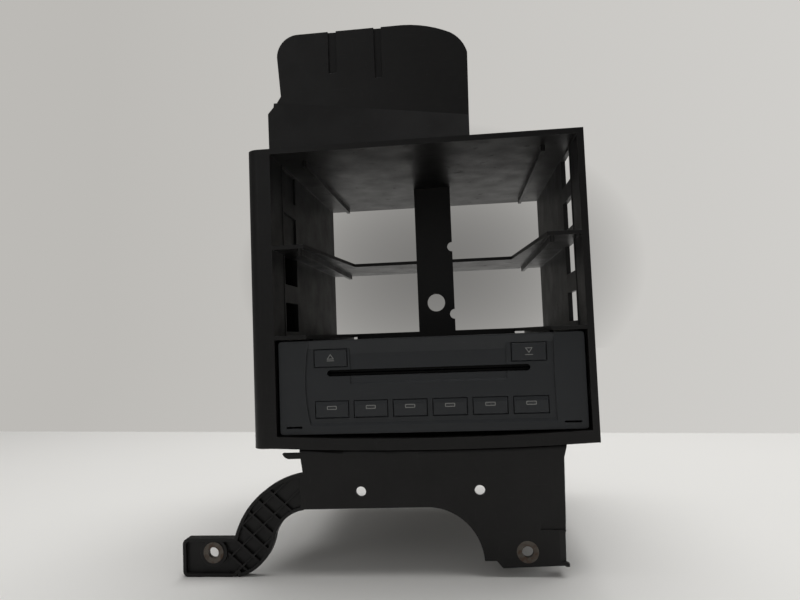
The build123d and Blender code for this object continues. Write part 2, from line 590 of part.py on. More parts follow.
def carrier_shelf(top, rib_front):
    """Shelf with the wide recess in its front edge and a guide rib under each side."""
    under = top - SHELF_THICKNESS
    plate = polygon(
        (-WALL_OUTER, 0), (-RECESS_FRONT_HALF, 0), (-RECESS_BACK_HALF, RECESS_DEPTH),
        (RECESS_BACK_HALF, RECESS_DEPTH), (RECESS_FRONT_HALF, 0), (WALL_OUTER, 0),
        (WALL_OUTER, CARRIER_DEPTH), (-WALL_OUTER, CARRIER_DEPTH),
    )
    return from_above(plate, under, top) + guide_ribs(under, rib_front)


def guide_ribs(under, front):
    """Pair of ribs that hang from a shelf or from the top, each with a round nose."""
    ribs = []
    for side in (-1, 1):
        x0 = side * SHELF_RIB_X - SHELF_RIB_WIDTH / 2
        x1 = side * SHELF_RIB_X + SHELF_RIB_WIDTH / 2
        ribs.append(block(x0, x1, front, SHELF_RIB_END, under - SHELF_RIB_DROP, under))
        nose = rod_z(SHELF_RIB_WIDTH / 2, side * SHELF_RIB_X, front, under - SHELF_RIB_DROP, under)
        ribs.append(nose)
    return union(ribs)


def carrier_post():
    """Post from the lower shelf to the top, on the recess edge of the shelves."""
    x0 = POST_X - POST_WIDTH / 2
    x1 = POST_X + POST_WIDTH / 2
    y1 = RECESS_DEPTH + POST_THICKNESS
    post = block(x0, x1, RECESS_DEPTH, y1, LOW_SHELF_TOP - SHELF_THICKNESS, TOP_OUTER)
    post -= rod_y(POST_HOLE_RADIUS, POST_X, RECESS_DEPTH - 1, y1 + 1, POST_HOLE_Z)
    for height in POST_NOTCH_HEIGHTS:
        post -= rod_y(POST_NOTCH_RADIUS, x1, RECESS_DEPTH - 1, y1 + 1, height)
    return post


def snap_windows():
    """Cutters for the snap windows in the side walls."""
    cutters = []
    for z in SNAP_WINDOWS_RIGHT:
        cutters.append(snap_window(BAY_BACK_HALF - 1, WALL_OUTER + 1, z))
    for z in SNAP_WINDOWS_LEFT:
        cutters.append(snap_window(-WALL_OUTER - 1, -BAY_BACK_HALF + 1, z))
    for z in BLIND_WINDOWS_LEFT:
        cutters.append(snap_window(-BAY_BACK_HALF - BLIND_WINDOW_DEPTH, -BAY_BACK_HALF + 1, z))
    return cutters


def snap_window(x0, x1, z):
    """One of them: the changer's own bay has the short kind that its springs hook into."""
    y0, depth, height = BAY_WINDOW_Y, BAY_WINDOW_DEPTH, BAY_WINDOW_HEIGHT
    if z < FACE_HALF_HEIGHT:
        y0, depth, height = SNAP_WINDOW_Y, SNAP_WINDOW_DEPTH, SNAP_WINDOW_HEIGHT
    return block(x0, x1, y0, y0 + depth, z - height / 2, z + height / 2)


def plate_setback(x):
    """How far the top plate's upper facet stands behind the rim at a place along it."""
    share = (x - PLATE_LEFT_LOW) / (PLATE_RIGHT - PLATE_LEFT_LOW)
    return PLATE_SETBACK + share * (PLATE_SETBACK_RIGHT - PLATE_SETBACK)


def plate_body(front, back):
    """All that lies behind the plate's two facets, moved back by a distance."""
    above = PLATE_TOP + PLATE_THICKNESS
    slope_end = TOP_OUTER + back * PLATE_RISE
    x0, x1 = PLATE_LEFT_LOW - 1, PLATE_RIGHT + 1
    low = polygon(
        (front, TOP_INNER - 1), (front, TOP_OUTER), (front + back, slope_end), (front + back, TOP_INNER - 1)
    )
    high = polygon(
        (x0, plate_setback(x0) + front), (x1, plate_setback(x1) + front),
        (x1, back + front), (x0, back + front),
    )
    return from_side(low, x0, x1) + from_above(high, TOP_OUTER, above)


def plate_outline():
    """Front view of the top plate."""
    corner_bend = PLATE_CORNER_RADIUS * (1 - math.cos(math.radians(45)))
    left_arc_x = PLATE_LEFT_TOP + PLATE_CORNER_RADIUS
    shoulder = [(x, PLATE_TOP - drop) for x, drop in PLATE_SHOULDER]
    corner = [(x, PLATE_TOP - drop) for x, drop in PLATE_CORNER]
    return make_face([
        Line((PLATE_LEFT_FOOT, TOP_INNER), (PLATE_LEFT_LOW, PLATE_LEFT_NOTCH_LOW)),
        Line((PLATE_LEFT_LOW, PLATE_LEFT_NOTCH_LOW), (PLATE_LEFT_HIGH, PLATE_LEFT_NOTCH_HIGH)),
        Line((PLATE_LEFT_HIGH, PLATE_LEFT_NOTCH_HIGH), (PLATE_LEFT_TOP, PLATE_TOP - PLATE_CORNER_RADIUS)),
        ThreePointArc(
            (PLATE_LEFT_TOP, PLATE_TOP - PLATE_CORNER_RADIUS),
            (PLATE_LEFT_TOP + corner_bend, PLATE_TOP - corner_bend),
            (left_arc_x, PLATE_TOP),
        ),
        Line((left_arc_x, PLATE_TOP), shoulder[0]),
        ThreePointArc(*shoulder),
        ThreePointArc(shoulder[-1], *corner),
        Line(corner[-1], (PLATE_RIGHT_FOOT, TOP_INNER)),
        Line((PLATE_RIGHT_FOOT, TOP_INNER), (PLATE_LEFT_FOOT, TOP_INNER)),
    ])


def top_plate():
    """Tall plate on the top's front edge: a sloping lower facet and an upright upper one."""
    deep = PLATE_SETBACK + GUSSET_LENGTH
    plate = plate_body(0, deep) - plate_body(PLATE_THICKNESS, deep)
    plate &= from_front(plate_outline(), -1, deep - 1)
    for from_left, width, length in GROOVES:
        x0 = PLATE_LEFT_LOW + from_left - width / 2
        y1 = plate_setback(x0 + width / 2) + GROOVE_DEPTH
        plate -= block(x0, x0 + width, 0, y1, PLATE_TOP - length, PLATE_TOP + 1)
    for x0 in (PLATE_LEFT_FOOT, PLATE_RIGHT_FOOT - GUSSET_WIDTH):
        setback = plate_setback(x0)
        crease = TOP_OUTER + setback * PLATE_RISE
        gusset = polygon((1, TOP_INNER), (1, TOP_OUTER), (setback + 1, crease), (GUSSET_LENGTH, TOP_INNER))
        plate += from_side(gusset, x0, x0 + GUSSET_WIDTH)
    return plate


def rail_edge(x):
    """Level of the front rail's lower edge at a place along it."""
    return RAIL_BOTTOM - RAIL_BOW * (1 - (x / WALL_OUTER) ** 2)


def skirt_outline():
    """Front view of the skirt with the arch and the right leg."""
    left = SKIRT_LEFT - SKIRT_FLARE
    right = SKIRT_RIGHT + SKIRT_FLARE
    low_right = SKIRT_RIGHT - SKIRT_RIGHT_LEAN
    foot_right = SKIRT_BOTTOM + SKIRT_BOTTOM_RISE
    heel_left = SKIRT_RIGHT - HEEL_WIDTH
    heel_top = foot_right - HEEL_DROP + HEEL_HEIGHT
    arch_top = ARCH_SPRING + ARCH_RISE
    arch_x = ARCH_CENTRE_X + ARCH_HALF_WIDTH * math.sin(math.radians(45))
    arch_z = ARCH_SPRING + ARCH_RISE * math.cos(math.radians(45))
    spring_x = ARCH_CENTRE_X + ARCH_HALF_WIDTH
    corners = (
        (spring_x, ARCH_SPRING), (SKIRT_NOTCH_X, ARCH_SPRING), (SKIRT_NOTCH_X + SKIRT_TOE, SKIRT_BOTTOM),
        (heel_left, foot_right), (heel_left + HEEL_DROP, foot_right - HEEL_DROP),
        (SKIRT_RIGHT, foot_right - HEEL_DROP), (SKIRT_RIGHT, heel_top), (low_right, heel_top + HEEL_DROP),
        (SKIRT_RIGHT, SKIRT_FLARE_LOW), (right, rail_edge(right)),
    )
    return make_face([
        ThreePointArc(corners[-1], (0, rail_edge(0)), (left, rail_edge(left))),
        Line((left, rail_edge(left)), (SKIRT_LEFT, ARM_TOP)),
        Line((SKIRT_LEFT, ARM_TOP), (SKIRT_LEFT, SKIRT_BOTTOM_LEFT)),
        Line((SKIRT_LEFT, SKIRT_BOTTOM_LEFT), (ARCH_CENTRE_X, arch_top)),
        ThreePointArc((ARCH_CENTRE_X, arch_top), (arch_x, arch_z), corners[0]),
        *[Line(start, end) for start, end in zip(corners, corners[1:])],
    ])


def skirt():
    """Skirt below the floor, with its two holes, the right leg's boss and side flange."""
    sheet = from_front(skirt_outline(), 0, SKIRT_THICKNESS)
    front = sheet.faces().sort_by(Axis.Y)[0]
    sheet = fillet(front.edges().sort_by(Axis.Z)[-1], SKIRT_ROUND)
    root_low = rail_edge(0) - 2 * SKIRT_ROUND
    root_high = FLOOR_BOTTOM - FLOOR_BITE / 2
    sheet += block(SKIRT_LEFT, SKIRT_RIGHT, *SKIRT_ROOT, root_low, root_high)
    flange_right = SKIRT_RIGHT - SKIRT_RIGHT_LEAN
    foot = SKIRT_BOTTOM + SKIRT_BOTTOM_RISE
    flange_profile = polygon(
        (SKIRT_THICKNESS / 2, foot), (SKIRT_THICKNESS / 2, root_low),
        (SKIRT_ROOT[0], FLOOR_BOTTOM + FLOOR_BITE), (SKIRT_FLANGE_ROOT, FLOOR_BOTTOM + FLOOR_BITE),
        (SKIRT_FLANGE_DEPTH, SKIRT_FACE_TOP),
        (SKIRT_FLANGE_DEPTH, foot),
    )
    sheet += from_side(flange_profile, flange_right - SKIRT_FLANGE, flange_right)
    boss_radius = BUSH_RADIUS + BUSH_BOSS_WALL
    sheet += rod_y(boss_radius, BOLT_RIGHT_X, SKIRT_THICKNESS / 2, ARM_DEPTH, BOLT_Z)
    sheet -= rod_y(BUSH_RADIUS, BOLT_RIGHT_X, -1, ARM_DEPTH + 1, BOLT_Z)
    slope_top = LEDGE_Z + LEDGE_SLOPE
    slope = polygon((0, slope_top), (LEDGE_DEPTH, LEDGE_Z), (-1, LEDGE_Z), (-1, slope_top))
    sheet -= from_side(slope, LEDGE_LEFT, SKIRT_RIGHT + 1)
    share = (SKIRT_RIGHT + 1 - EDGE_BEVEL_LEFT) / (flange_right - EDGE_BEVEL_LEFT)
    bevel = polygon(
        (EDGE_BEVEL_LEFT, -1), (EDGE_BEVEL_LEFT, 0),
        (SKIRT_RIGHT + 1, EDGE_BEVEL_DEPTH * share), (SKIRT_RIGHT + 1, -1),
    )
    sheet -= from_above(bevel, foot + HEEL_HEIGHT, LEDGE_Z - LEDGE_DEPTH)
    for x in SKIRT_HOLES_X:
        sheet -= rod_y(SKIRT_HOLE_RADIUS, x, -1, SKIRT_THICKNESS + 1, SKIRT_HOLE_Z)
    return sheet + skirt_lug()


def skirt_lug():
    """Lug with a rounded end beside the top of the skirt."""
    right = SKIRT_LEFT + FLOOR_BITE
    left = SKIRT_LEFT - SKIRT_FLARE - LUG_LENGTH
    low = LUG_TOP - LUG_HEIGHT
    bend = math.cos(math.radians(45))
    return from_front(make_face([
        Line((right, LUG_TOP), (left, LUG_TOP)),
        ThreePointArc(
            (left, LUG_TOP),
            (left + LUG_ROUND * (1 - bend), LUG_TOP - LUG_HEIGHT * bend),
            (left + LUG_ROUND, low),
        ),
        Line((left + LUG_ROUND, low), (right, low)),
        Line((right, low), (right, LUG_TOP)),
    ]), *LUG_DEPTHS)


def arm_point(shares):
    """Corner of the arm from its shares of the arm's width and height."""
    across, down = shares
    return (SKIRT_LEFT + across * (PAD_RIGHT - SKIRT_LEFT), ARM_TOP + down * (PAD_BOTTOM - ARM_TOP))


def arm_outline():
    """Front view of the arm between the skirt and the left bolt pad."""
    root = (SKIRT_LEFT, ARM_TOP)
    outer_end = (PAD_RIGHT - ARM_END_OVERLAP[0], PAD_TOP - ARM_END_OVERLAP[1])
    inner_end = (PAD_RIGHT, PAD_BOTTOM)
    middle = arm_point(ARM_INNER_MIDDLE)
    inner_start = arm_point(ARM_INNER_START)
    return make_face([
        ThreePointArc(root, arm_point(ARM_SHOULDER), outer_end),
        Line(outer_end, inner_end),
        ThreePointArc(inner_end, arm_point(ARM_INNER_HEEL), middle),
        ThreePointArc(middle, arm_point(ARM_INNER_KNEE), inner_start),
        Line(inner_start, root),
    ])


def arm():
    """Arm and bolt pad: a rim round a web, with pockets and diagonal lattice ribs."""
    width = PAD_RIGHT - PAD_LEFT
    height = PAD_TOP - PAD_BOTTOM
    middle = Pos((PAD_LEFT + PAD_RIGHT) / 2, (PAD_TOP + PAD_BOTTOM) / 2)
    outline = arm_outline() + middle * RectangleRounded(width, height, PAD_CORNER)
    inside = offset(outline, amount=-ARM_WALL, kind=Kind.ARC)
    body = from_front(outline, 0, ARM_DEPTH) - from_front(inside, -1, ARM_POCKET)
    body -= from_front(inside, ARM_DEPTH - ARM_POCKET, ARM_DEPTH + 1)
    reach = ARM_RIB_REACH
    count = int(reach / ARM_RIB_PITCH / 2)
    bars = []
    for turn in (ARM_RIB_LEAN, -ARM_RIB_LEAN):
        for i in range(-count, count + 1):
            bar = Pos(*ARM_NODE) * Rot(0, 0, turn) * Pos(i * ARM_RIB_PITCH, 0) * Rectangle(ARM_RIB, 2 * reach)
            bars.append(bar)
    lattice_right = Pos(PAD_LATTICE_LEFT + reach / 2, BOLT_Z) * Rectangle(reach, 2 * reach)
    lattice = union(bars) & inside & lattice_right
    for rib in lattice.faces():
        body += from_front(Sketch() + rib, ARM_RIB_SETBACK, ARM_DEPTH - ARM_RIB_SETBACK)
    body += rod_y(BUSH_RADIUS + BUSH_BOSS_WALL, BOLT_LEFT_X, ARM_RIB_SETBACK, ARM_DEPTH, BOLT_Z)
    return body - rod_y(BUSH_RADIUS, BOLT_LEFT_X, -1, ARM_DEPTH + 1, BOLT_Z)


def floor_details():
    """Rails that carry the changer."""
    rail_top = -CASE_HALF_HEIGHT
    rails = []
    for side in (-1, 1):
        x0 = side * FLOOR_RAIL_X - FLOOR_RAIL_WIDTH / 2
        x1 = side * FLOOR_RAIL_X + FLOOR_RAIL_WIDTH / 2
        rails.append(block(x0, x1, FLOOR_RAIL_FRONT, CARRIER_DEPTH, FLOOR_BOTTOM, rail_top))
    return union(rails)


def recess_rib():
    """Rib under the low shelf along the back of its recess."""
    under = LOW_SHELF_TOP - SHELF_THICKNESS
    y1 = RECESS_DEPTH + EDGE_RIB_WIDTH
    return block(-RECESS_BACK_HALF, RECESS_BACK_HALF, RECESS_DEPTH, y1, under - EDGE_RIB_DROP, LOW_SHELF_TOP)


def carrier():
    """The whole moulding."""
    body = carrier_box() + carrier_pillar()
    body += carrier_shelf(MID_SHELF_TOP, SHELF_RIB_START)
    body += carrier_shelf(LOW_SHELF_TOP, FACE_BACK + LOW_RIB_GAP)
    body += guide_ribs(TOP_INNER, TOP_RIB_START) + carrier_post() + recess_rib()
    body += floor_details() + top_plate() + skirt() + arm()
    for cutter in snap_windows():
        body -= cutter
    return body


def mounting_bushes():
    """Steel bush in each bolt pad."""
    bushes = []
    for x in (BOLT_LEFT_X, BOLT_RIGHT_X):
        bush = rod_y(BUSH_RADIUS, x, 0, BUSH_LENGTH, BOLT_Z)
        bushes.append(bush - rod_y(BOLT_HOLE_RADIUS, x, -1, BUSH_LENGTH + 1, BOLT_Z))
    return bushes


# ---------------------------------------------------------------- face, keys and board
def key_opening(x, z, height):
    """Hole in the face for one key."""
    w = KEY_WIDTH / 2 + KEY_GAP
    h = height / 2 + KEY_GAP
    return block(x - w, x + w, -1, FACE_WALL_BACK + 1, z - h, z + h)


def panel_recess():
    """Cutter for the centre panel, with a slope above and below and bowed sides."""
    top = FACE_HALF_HEIGHT - PANEL_TOP_RIM
    left = -PANEL_HALF_WIDTH + PANEL_LEFT_IN
    right = PANEL_HALF_WIDTH
    middle_z = (PANEL_BOTTOM + top) / 2
    outline = make_face([
        Line((left, top), (right, top)),
        ThreePointArc((right, top), (right + PANEL_RIGHT_BOW, middle_z), (right, PANEL_BOTTOM)),
        Line((right, PANEL_BOTTOM), (left, PANEL_BOTTOM)),
        ThreePointArc((left, PANEL_BOTTOM), (left - PANEL_LEFT_BOW, middle_z), (left, top)),
    ])
    section = polygon(
        (-1, top), (FACE_Y, top), (PANEL_Y, top - PANEL_TOP_SLOPE), (PANEL_Y, PANEL_BOTTOM + PANEL_LOW_SLOPE),
        (FACE_Y, PANEL_BOTTOM), (-1, PANEL_BOTTOM),
    )
    return from_side(section, -FACE_HALF_WIDTH, FACE_HALF_WIDTH) & from_front(outline, -2, FACE_BACK)


def fascia():
    """Front panel: recessed centre panel, scoop round the disc slot, key and release openings."""
    full = RectangleRounded(2 * FACE_HALF_WIDTH, 2 * FACE_HALF_HEIGHT, FACE_CORNER)
    inner = Rectangle(2 * (FACE_HALF_WIDTH - FACE_RIM), 2 * (FACE_HALF_HEIGHT - FACE_RIM))
    body = from_front(full, FACE_Y, FACE_BACK) - from_front(inner, FACE_WALL_BACK, FACE_BACK + 1)
    body -= panel_recess()
    scoop_top = FACE_HALF_HEIGHT - PANEL_TOP_RIM
    scoop_y = PANEL_Y + SCOOP_DEPTH
    scoop = polygon(
        (-1, scoop_top), (FACE_Y, scoop_top), (scoop_y, SCOOP_SLOPE_FOOT),
        (scoop_y, SCOOP_LIP + SCOOP_LIP_HEIGHT),
        (PANEL_Y, SCOOP_LIP), (-1, SCOOP_LIP),
    )
    half_scoop = SCOOP_LENGTH / 2
    body -= from_side(scoop, SCOOP_X - half_scoop, SCOOP_X + half_scoop)
    slot = Pos(SLOT_X, SLOT_Z) * SlotOverall(SLOT_LENGTH, SLOT_HEIGHT)
    body -= from_front(slot, -1, FACE_WALL_BACK + 1)
    for x in TOP_KEY_CENTRES:
        body -= key_opening(x, TOP_KEY_Z, TOP_KEY_HEIGHT)
    for x in DISC_KEY_CENTRES:
        body -= key_opening(x, DISC_KEY_Z, DISC_KEY_HEIGHT)
    for side in (-1, 1):
        x = side * RELEASE_SLOT_X
        half = RELEASE_SLOT_LENGTH / 2
        z0 = RELEASE_SLOT_Z - RELEASE_SLOT_HEIGHT / 2
        body -= block(x - half, x + half, -1, FACE_WALL_BACK + 1, z0, z0 + RELEASE_SLOT_HEIGHT)
        x0 = side * FACE_LUG_X - FACE_LUG_WIDTH / 2
        x1 = x0 + FACE_LUG_WIDTH
        for end in (-1, 1):
            z_case = end * CASE_HALF_HEIGHT
            z_rim = end * (FACE_HALF_HEIGHT - FACE_RIM / 2)
            low, high = sorted((z_case, z_rim))
            body += block(x0, x1, CASE_FRONT - FACE_LUG_DEPTH, FACE_BACK, low, high)
    for x, z in board_post_places():
        body += rod_y(BOARD_POST_RADIUS, x, FACE_WALL_BACK - FACE_WALL / 5, BOARD_Y, z)
        body -= rod_y(BOARD_SCREW_RADIUS, x, BOARD_Y - BOARD_SCREW_DEPTH, BOARD_Y + 1, z)
    return body


def board_post_places():
    """Posts behind the face that the front board is screwed to."""
    return [(side * BOARD_POST_X, end * BOARD_POST_Z) for side in (-1, 1) for end in (-1, 1)]


def key(x, z, height, brow):
    """One key cap with its sloping upper edge and the flange that keeps it in the panel."""
    low = z - height / 2
    high = z + height / 2
    side = polygon(
        (KEY_BACK, low), (KEY_FRONT + KEY_CHAMFER, low), (KEY_FRONT, low + KEY_CHAMFER),
        (KEY_FRONT, high - brow[0]), (KEY_FRONT + brow[1], high), (KEY_BACK, high),
    )
    cap = from_side(side, x - KEY_WIDTH / 2, x + KEY_WIDTH / 2)
    front = cap.faces().sort_by(Axis.Y)[0]
    cap = chamfer(front.edges().filter_by(Axis.Z), KEY_CHAMFER)
    w = KEY_WIDTH / 2 + KEY_FLANGE
    h = height / 2 + KEY_FLANGE
    return cap + block(x - w, x + w, KEY_FLANGE_FRONT, KEY_BACK, z - h, z + h)


def slot_felt():
    """Felt lips behind the slot that keep dust out."""
    x0 = SLOT_X - SLOT_LENGTH / 2 - 1
    x1 = SLOT_X + SLOT_LENGTH / 2 + 1
    y1 = FACE_WALL_BACK + FELT_THICKNESS
    lips = []
    for side in (-1, 1):
        near = SLOT_Z + side * FELT_GAP / 2
        far = SLOT_Z + side * FELT_REACH
        lips.append(block(x0, x1, FACE_WALL_BACK, y1, min(near, far), max(near, far)))
    return lips


def key_positions():
    """Centre and travel of all keys."""
    tops = [(x, TOP_KEY_Z, TOP_KEY_TRAVEL) for x in TOP_KEY_CENTRES]
    return tops + [(x, DISC_KEY_Z, DISC_KEY_TRAVEL) for x in DISC_KEY_CENTRES]


def led_boxes(grow):
    """Light-emitting diodes beside the domes, grown by a margin."""
    half = LED_SIZE / 2 + grow
    boxes = []
    for x, z, _ in key_positions():
        cx = x + LED_OFFSET
        boxes.append(block(cx - half, cx + half, BOARD_Y - LED_HEIGHT, BOARD_Y, z - half, z + half))
    return boxes


def keypad_mat():
    """Rubber mat with a dome behind every key."""
    mat = block(-MAT_HALF_WIDTH, MAT_HALF_WIDTH, MAT_FRONT, BOARD_Y, MAT_BOTTOM, MAT_TOP)
    half = MAT_WINDOW_HALF
    mat -= block(-half, half, MAT_FRONT - 1, BOARD_Y + 1, MAT_WINDOW_LOW, MAT_WINDOW_HIGH)
    for x, z, travel in key_positions():
        mat += rod_y(DOME_RADIUS, x, KEY_BACK + travel + DOME_GAP, MAT_FRONT + MAT_THICKNESS / 2, z)
    for hole in led_boxes(LED_HOLE_GAP):
        mat -= hole
    return mat


def front_board():
    """Printed board behind the mat, with a window for the discs."""
    y1 = BOARD_Y + BOARD_THICKNESS
    board = block(-BOARD_HALF_WIDTH, BOARD_HALF_WIDTH, BOARD_Y, y1, -BOARD_HALF_HEIGHT, BOARD_HALF_HEIGHT)
    window = BOARD_WINDOW_HALF
    board -= block(-window, window, BOARD_Y - 1, y1 + 1, BOARD_WINDOW_LOW, BOARD_WINDOW_HIGH)
    for x, z in board_post_places():
        board -= rod_y(BOARD_SCREW_RADIUS, x, BOARD_Y - 1, y1 + 1, z)
    return board


def board_screws():
    """Screws that hold the front board to the face's posts."""
    face = BOARD_Y + BOARD_THICKNESS
    screws = []
    for x, z in board_post_places():
        head = rod_y(BOARD_SCREW_HEAD_RADIUS, x, face, face + BOARD_SCREW_HEAD, z)
        shank = rod_y(BOARD_SCREW_RADIUS, x, BOARD_Y - BOARD_SCREW_DEPTH, face + BOARD_SCREW_HEAD / 2, z)
        screws.append(head + shank)
    return screws


def light_guide():
    """Clear bar on the mat above the row of disc keys."""
    z0 = DISC_KEY_Z + DISC_KEY_HEIGHT / 2 + KEY_GAP + KEY_FLANGE + LIGHT_BAR_GAP
    half = LIGHT_BAR_LENGTH / 2
    return block(-half, half, MAT_FRONT - LIGHT_BAR_THICKNESS, MAT_FRONT, z0, z0 + LIGHT_BAR_HEIGHT)


# ---------------------------------------------------------------- case
def screw_places():
    """Centre of each cover screw on the case's outer face, with the direction it points out."""
    sides = [(side * (CASE_HALF_WIDTH + CASE_SHEET), y, side, 0) for y in SCREWS_Y for side in (-1, 1)]
    return sides + [(x, CASE_BACK + CASE_SHEET, 0, 1) for x in SCREWS_BACK_X]


def bar_out(radius, place, start, end):
    """Round bar along a screw's axis between two distances outside the face."""
    x, y, out_x, out_y = place
    if out_x:
        ends = sorted((x + out_x * start, x + out_x * end))
        return rod_x(radius, ends[0], ends[1], y, SCREW_Z)
    return rod_y(radius, x, y + start, y + end, SCREW_Z)


def chassis_tray():
    """Folded steel tray: floor, sides and back, with bearing holes, standoffs and outlets."""
    outer = CASE_HALF_WIDTH
    inner = CASE_INNER_HALF
    tray = block(-outer, outer, CASE_FRONT, CASE_BACK, -CASE_HALF_HEIGHT, CASE_TOP_INNER)
    tray -= block(-inner, inner, CASE_FRONT - 1, CASE_BACK - CASE_SHEET, CASE_FLOOR, CASE_TOP_INNER + 1)
    for side in (-1, 1):
        ends = sorted((side * (inner - 1), side * (outer + 1)))
        tray -= rod_x(ROLLER_BUSH_RADIUS, ends[0], ends[1], ROLLER_Y, ROLLER_Z)
    for x, y in SPINDLES:
        tray -= rod_z(SPINDLE_PIN, x, y, -CASE_HALF_HEIGHT - 1, CASE_FLOOR + 1)
    for place in screw_places():
        tray -= bar_out(SCREW_RADIUS, place, -3 * CASE_SHEET, 1)
    for x in (-STANDOFF_X, STANDOFF_X):
        for z in (-STANDOFF_Z, STANDOFF_Z):
            back = CASE_BACK - CASE_SHEET / 2
            tray += rod_y(STANDOFF_RADIUS, x, MAIN_BOARD_Y + MAIN_BOARD_THICKNESS, back, z)
    w = CONNECTOR_WIDTH / 2 + CONNECTOR_GAP
    h = CONNECTOR_HEIGHT / 2 + CONNECTOR_GAP
    tray -= block(CONNECTOR_X - w, CONNECTOR_X + w, CASE_BACK - 2 * CASE_SHEET, CASE_BACK + 1, -h, h)
    return tray


def top_cover():
    """Steel cover with flanges folded down over the sides and the back."""
    outer = CASE_HALF_WIDTH + CASE_SHEET
    back = CASE_BACK + CASE_SHEET
    low = CASE_HALF_HEIGHT - COVER_SKIRT
    start = CASE_FRONT + COVER_START
    half = CASE_HALF_WIDTH
    cover = block(-outer, outer, start, back, low, CASE_HALF_HEIGHT)
    cover -= block(-half, half, CASE_FRONT, CASE_BACK, low - 1, CASE_TOP_INNER)
    cover += block(-half, half, CASE_FRONT, start + 1, CASE_TOP_INNER, CASE_HALF_HEIGHT)
    for x, y in SPINDLES:
        cover -= rod_z(SPINDLE_PIN, x, y, CASE_TOP_INNER - 1, CASE_HALF_HEIGHT + 1)
    for place in screw_places():
        cover -= bar_out(SCREW_RADIUS, place, -3 * CASE_SHEET, 1)
    return cover


def cover_screws():
    """Screws that hold the cover to the tray."""
    screws = []
    for place in screw_places():
        head = bar_out(SCREW_HEAD_RADIUS, place, 0, SCREW_HEAD)
        screws.append(head + bar_out(SCREW_RADIUS, place, -SCREW_LENGTH, SCREW_HEAD / 2))
    return screws


def retaining_springs():
    """Leaf spring on each side of the case that hooks into the carrier's snap window."""
    window_front = SNAP_WINDOW_Y + 0.5
    springs = []
    for side in (-1, 1):
        x0 = CASE_HALF_WIDTH
        x1 = CASE_HALF_WIDTH + SPRING_REACH
        x2 = x1 + SPRING_HOOK
        t = SPRING_SHEET
        middle = window_front + SNAP_WINDOW_DEPTH / 3
        end = window_front + SNAP_WINDOW_DEPTH - 2
        strip = polygon(
            (x0, SPRING_START), (x0, SPRING_START + 3),
            (x1 - t, window_front + t), (x2 - t, window_front + t),
            (x2 - t, middle), (x1 - 2 * t, end), (x1 - t, end), (x2, middle), (x2, window_front),
            (x1, window_front), (x0 + t, SPRING_START + 2), (x0 + t, SPRING_START),
        )
        if side < 0:
            strip = mirror(strip, about=Plane.YZ)
        springs.append(from_above(strip, -SPRING_HEIGHT / 2, SPRING_HEIGHT / 2))
    return springs


# ---------------------------------------------------------------- loading drive
def roller_shaft():
    """Steel shaft across the case."""
    reach = CASE_HALF_WIDTH - ROLLER_SHAFT_END
    return rod_x(SHAFT_RADIUS, -reach, reach, ROLLER_Y, ROLLER_Z)


def roller_rubber():
    """Two rubber sleeves on the shaft."""
    sleeves = []
    for x0, x1 in ((-ROLLER_OUTER, -ROLLER_INNER), (ROLLER_INNER, ROLLER_OUTER)):
        sleeve = rod_x(ROLLER_RADIUS, x0, x1, ROLLER_Y, ROLLER_Z)
        sleeves.append(sleeve - rod_x(SHAFT_RADIUS, x0 - 1, x1 + 1, ROLLER_Y, ROLLER_Z))
    return sleeves


def roller_bushes():
    """Flanged plastic bearings in the case's sides."""
    bushes = []
    for side in (-1, 1):
        inner = CASE_INNER_HALF - ROLLER_BUSH_FLANGE_THICKNESS
        flange = sorted((side * inner, side * CASE_INNER_HALF))
        body = sorted((side * inner, side * CASE_HALF_WIDTH))
        bush = rod_x(ROLLER_BUSH_FLANGE, flange[0], flange[1], ROLLER_Y, ROLLER_Z)
        bush += rod_x(ROLLER_BUSH_RADIUS, body[0], body[1], ROLLER_Y, ROLLER_Z)
        bore = rod_x(SHAFT_RADIUS + RUNNING_FIT, body[0] - 1, body[1] + 1, ROLLER_Y, ROLLER_Z)
        bushes.append(bush - bore)
    return bushes


def side_gear(teeth, y, z, bore, turned):
    """Gear of the loading train, on an axis along X."""
    outline = Pos(y, z) * gear_outline(teeth, turned)
    gear = from_side(outline, GEAR_X, GEAR_X + GEAR_WIDTH)
    return gear - rod_x(bore, GEAR_X - 1, GEAR_X + GEAR_WIDTH + 1, y, z)


def mesh_turn(teeth, turned, mate_teeth, angle):
    """Turn of a mating gear so that a gap faces the first gear's tooth along their centre line."""
    phase = (angle - turned) * teeth / 360.0
    mate_phase = 0.5 - phase
    return angle + 180.0 - mate_phase * 360.0 / mate_teeth


IDLER_TURN = mesh_turn(ROLLER_TEETH, 0.0, IDLER_TEETH, IDLER_ANGLE)
LOAD_PINION_TURN = mesh_turn(IDLER_TEETH, IDLER_TURN, LOAD_PINION_TEETH, LOAD_PINION_ANGLE)
LIFT_PINION_TURN = mesh_turn(SPINDLE_GEAR_TEETH, 0.0, LIFT_PINION_TEETH, LIFT_PINION_ANGLE)


def gear_plate():
    """Steel plate that carries the idler pin and the loading motor."""
    x0 = GEAR_PLATE_X
    x1 = GEAR_PLATE_X + GEAR_PLATE_THICKNESS
    plate = block(x0, x1, GEAR_PLATE_FRONT, GEAR_PLATE_BACK, CASE_FLOOR, GEAR_PLATE_TOP)
    foot_top = CASE_FLOOR + GEAR_PLATE_THICKNESS
    plate += block(x1 - GEAR_PLATE_FOOT, x1, GEAR_PLATE_FRONT, GEAR_PLATE_BACK, CASE_FLOOR, foot_top)
    plate -= rod_x(SHAFT_RADIUS, x0 - 1, x1 + 1, IDLER_Y, IDLER_Z)
    return plate - rod_x(MOTOR_BOSS_RADIUS, x0 - 1, x1 + 1, LOAD_PINION_Y, LOAD_PINION_Z)


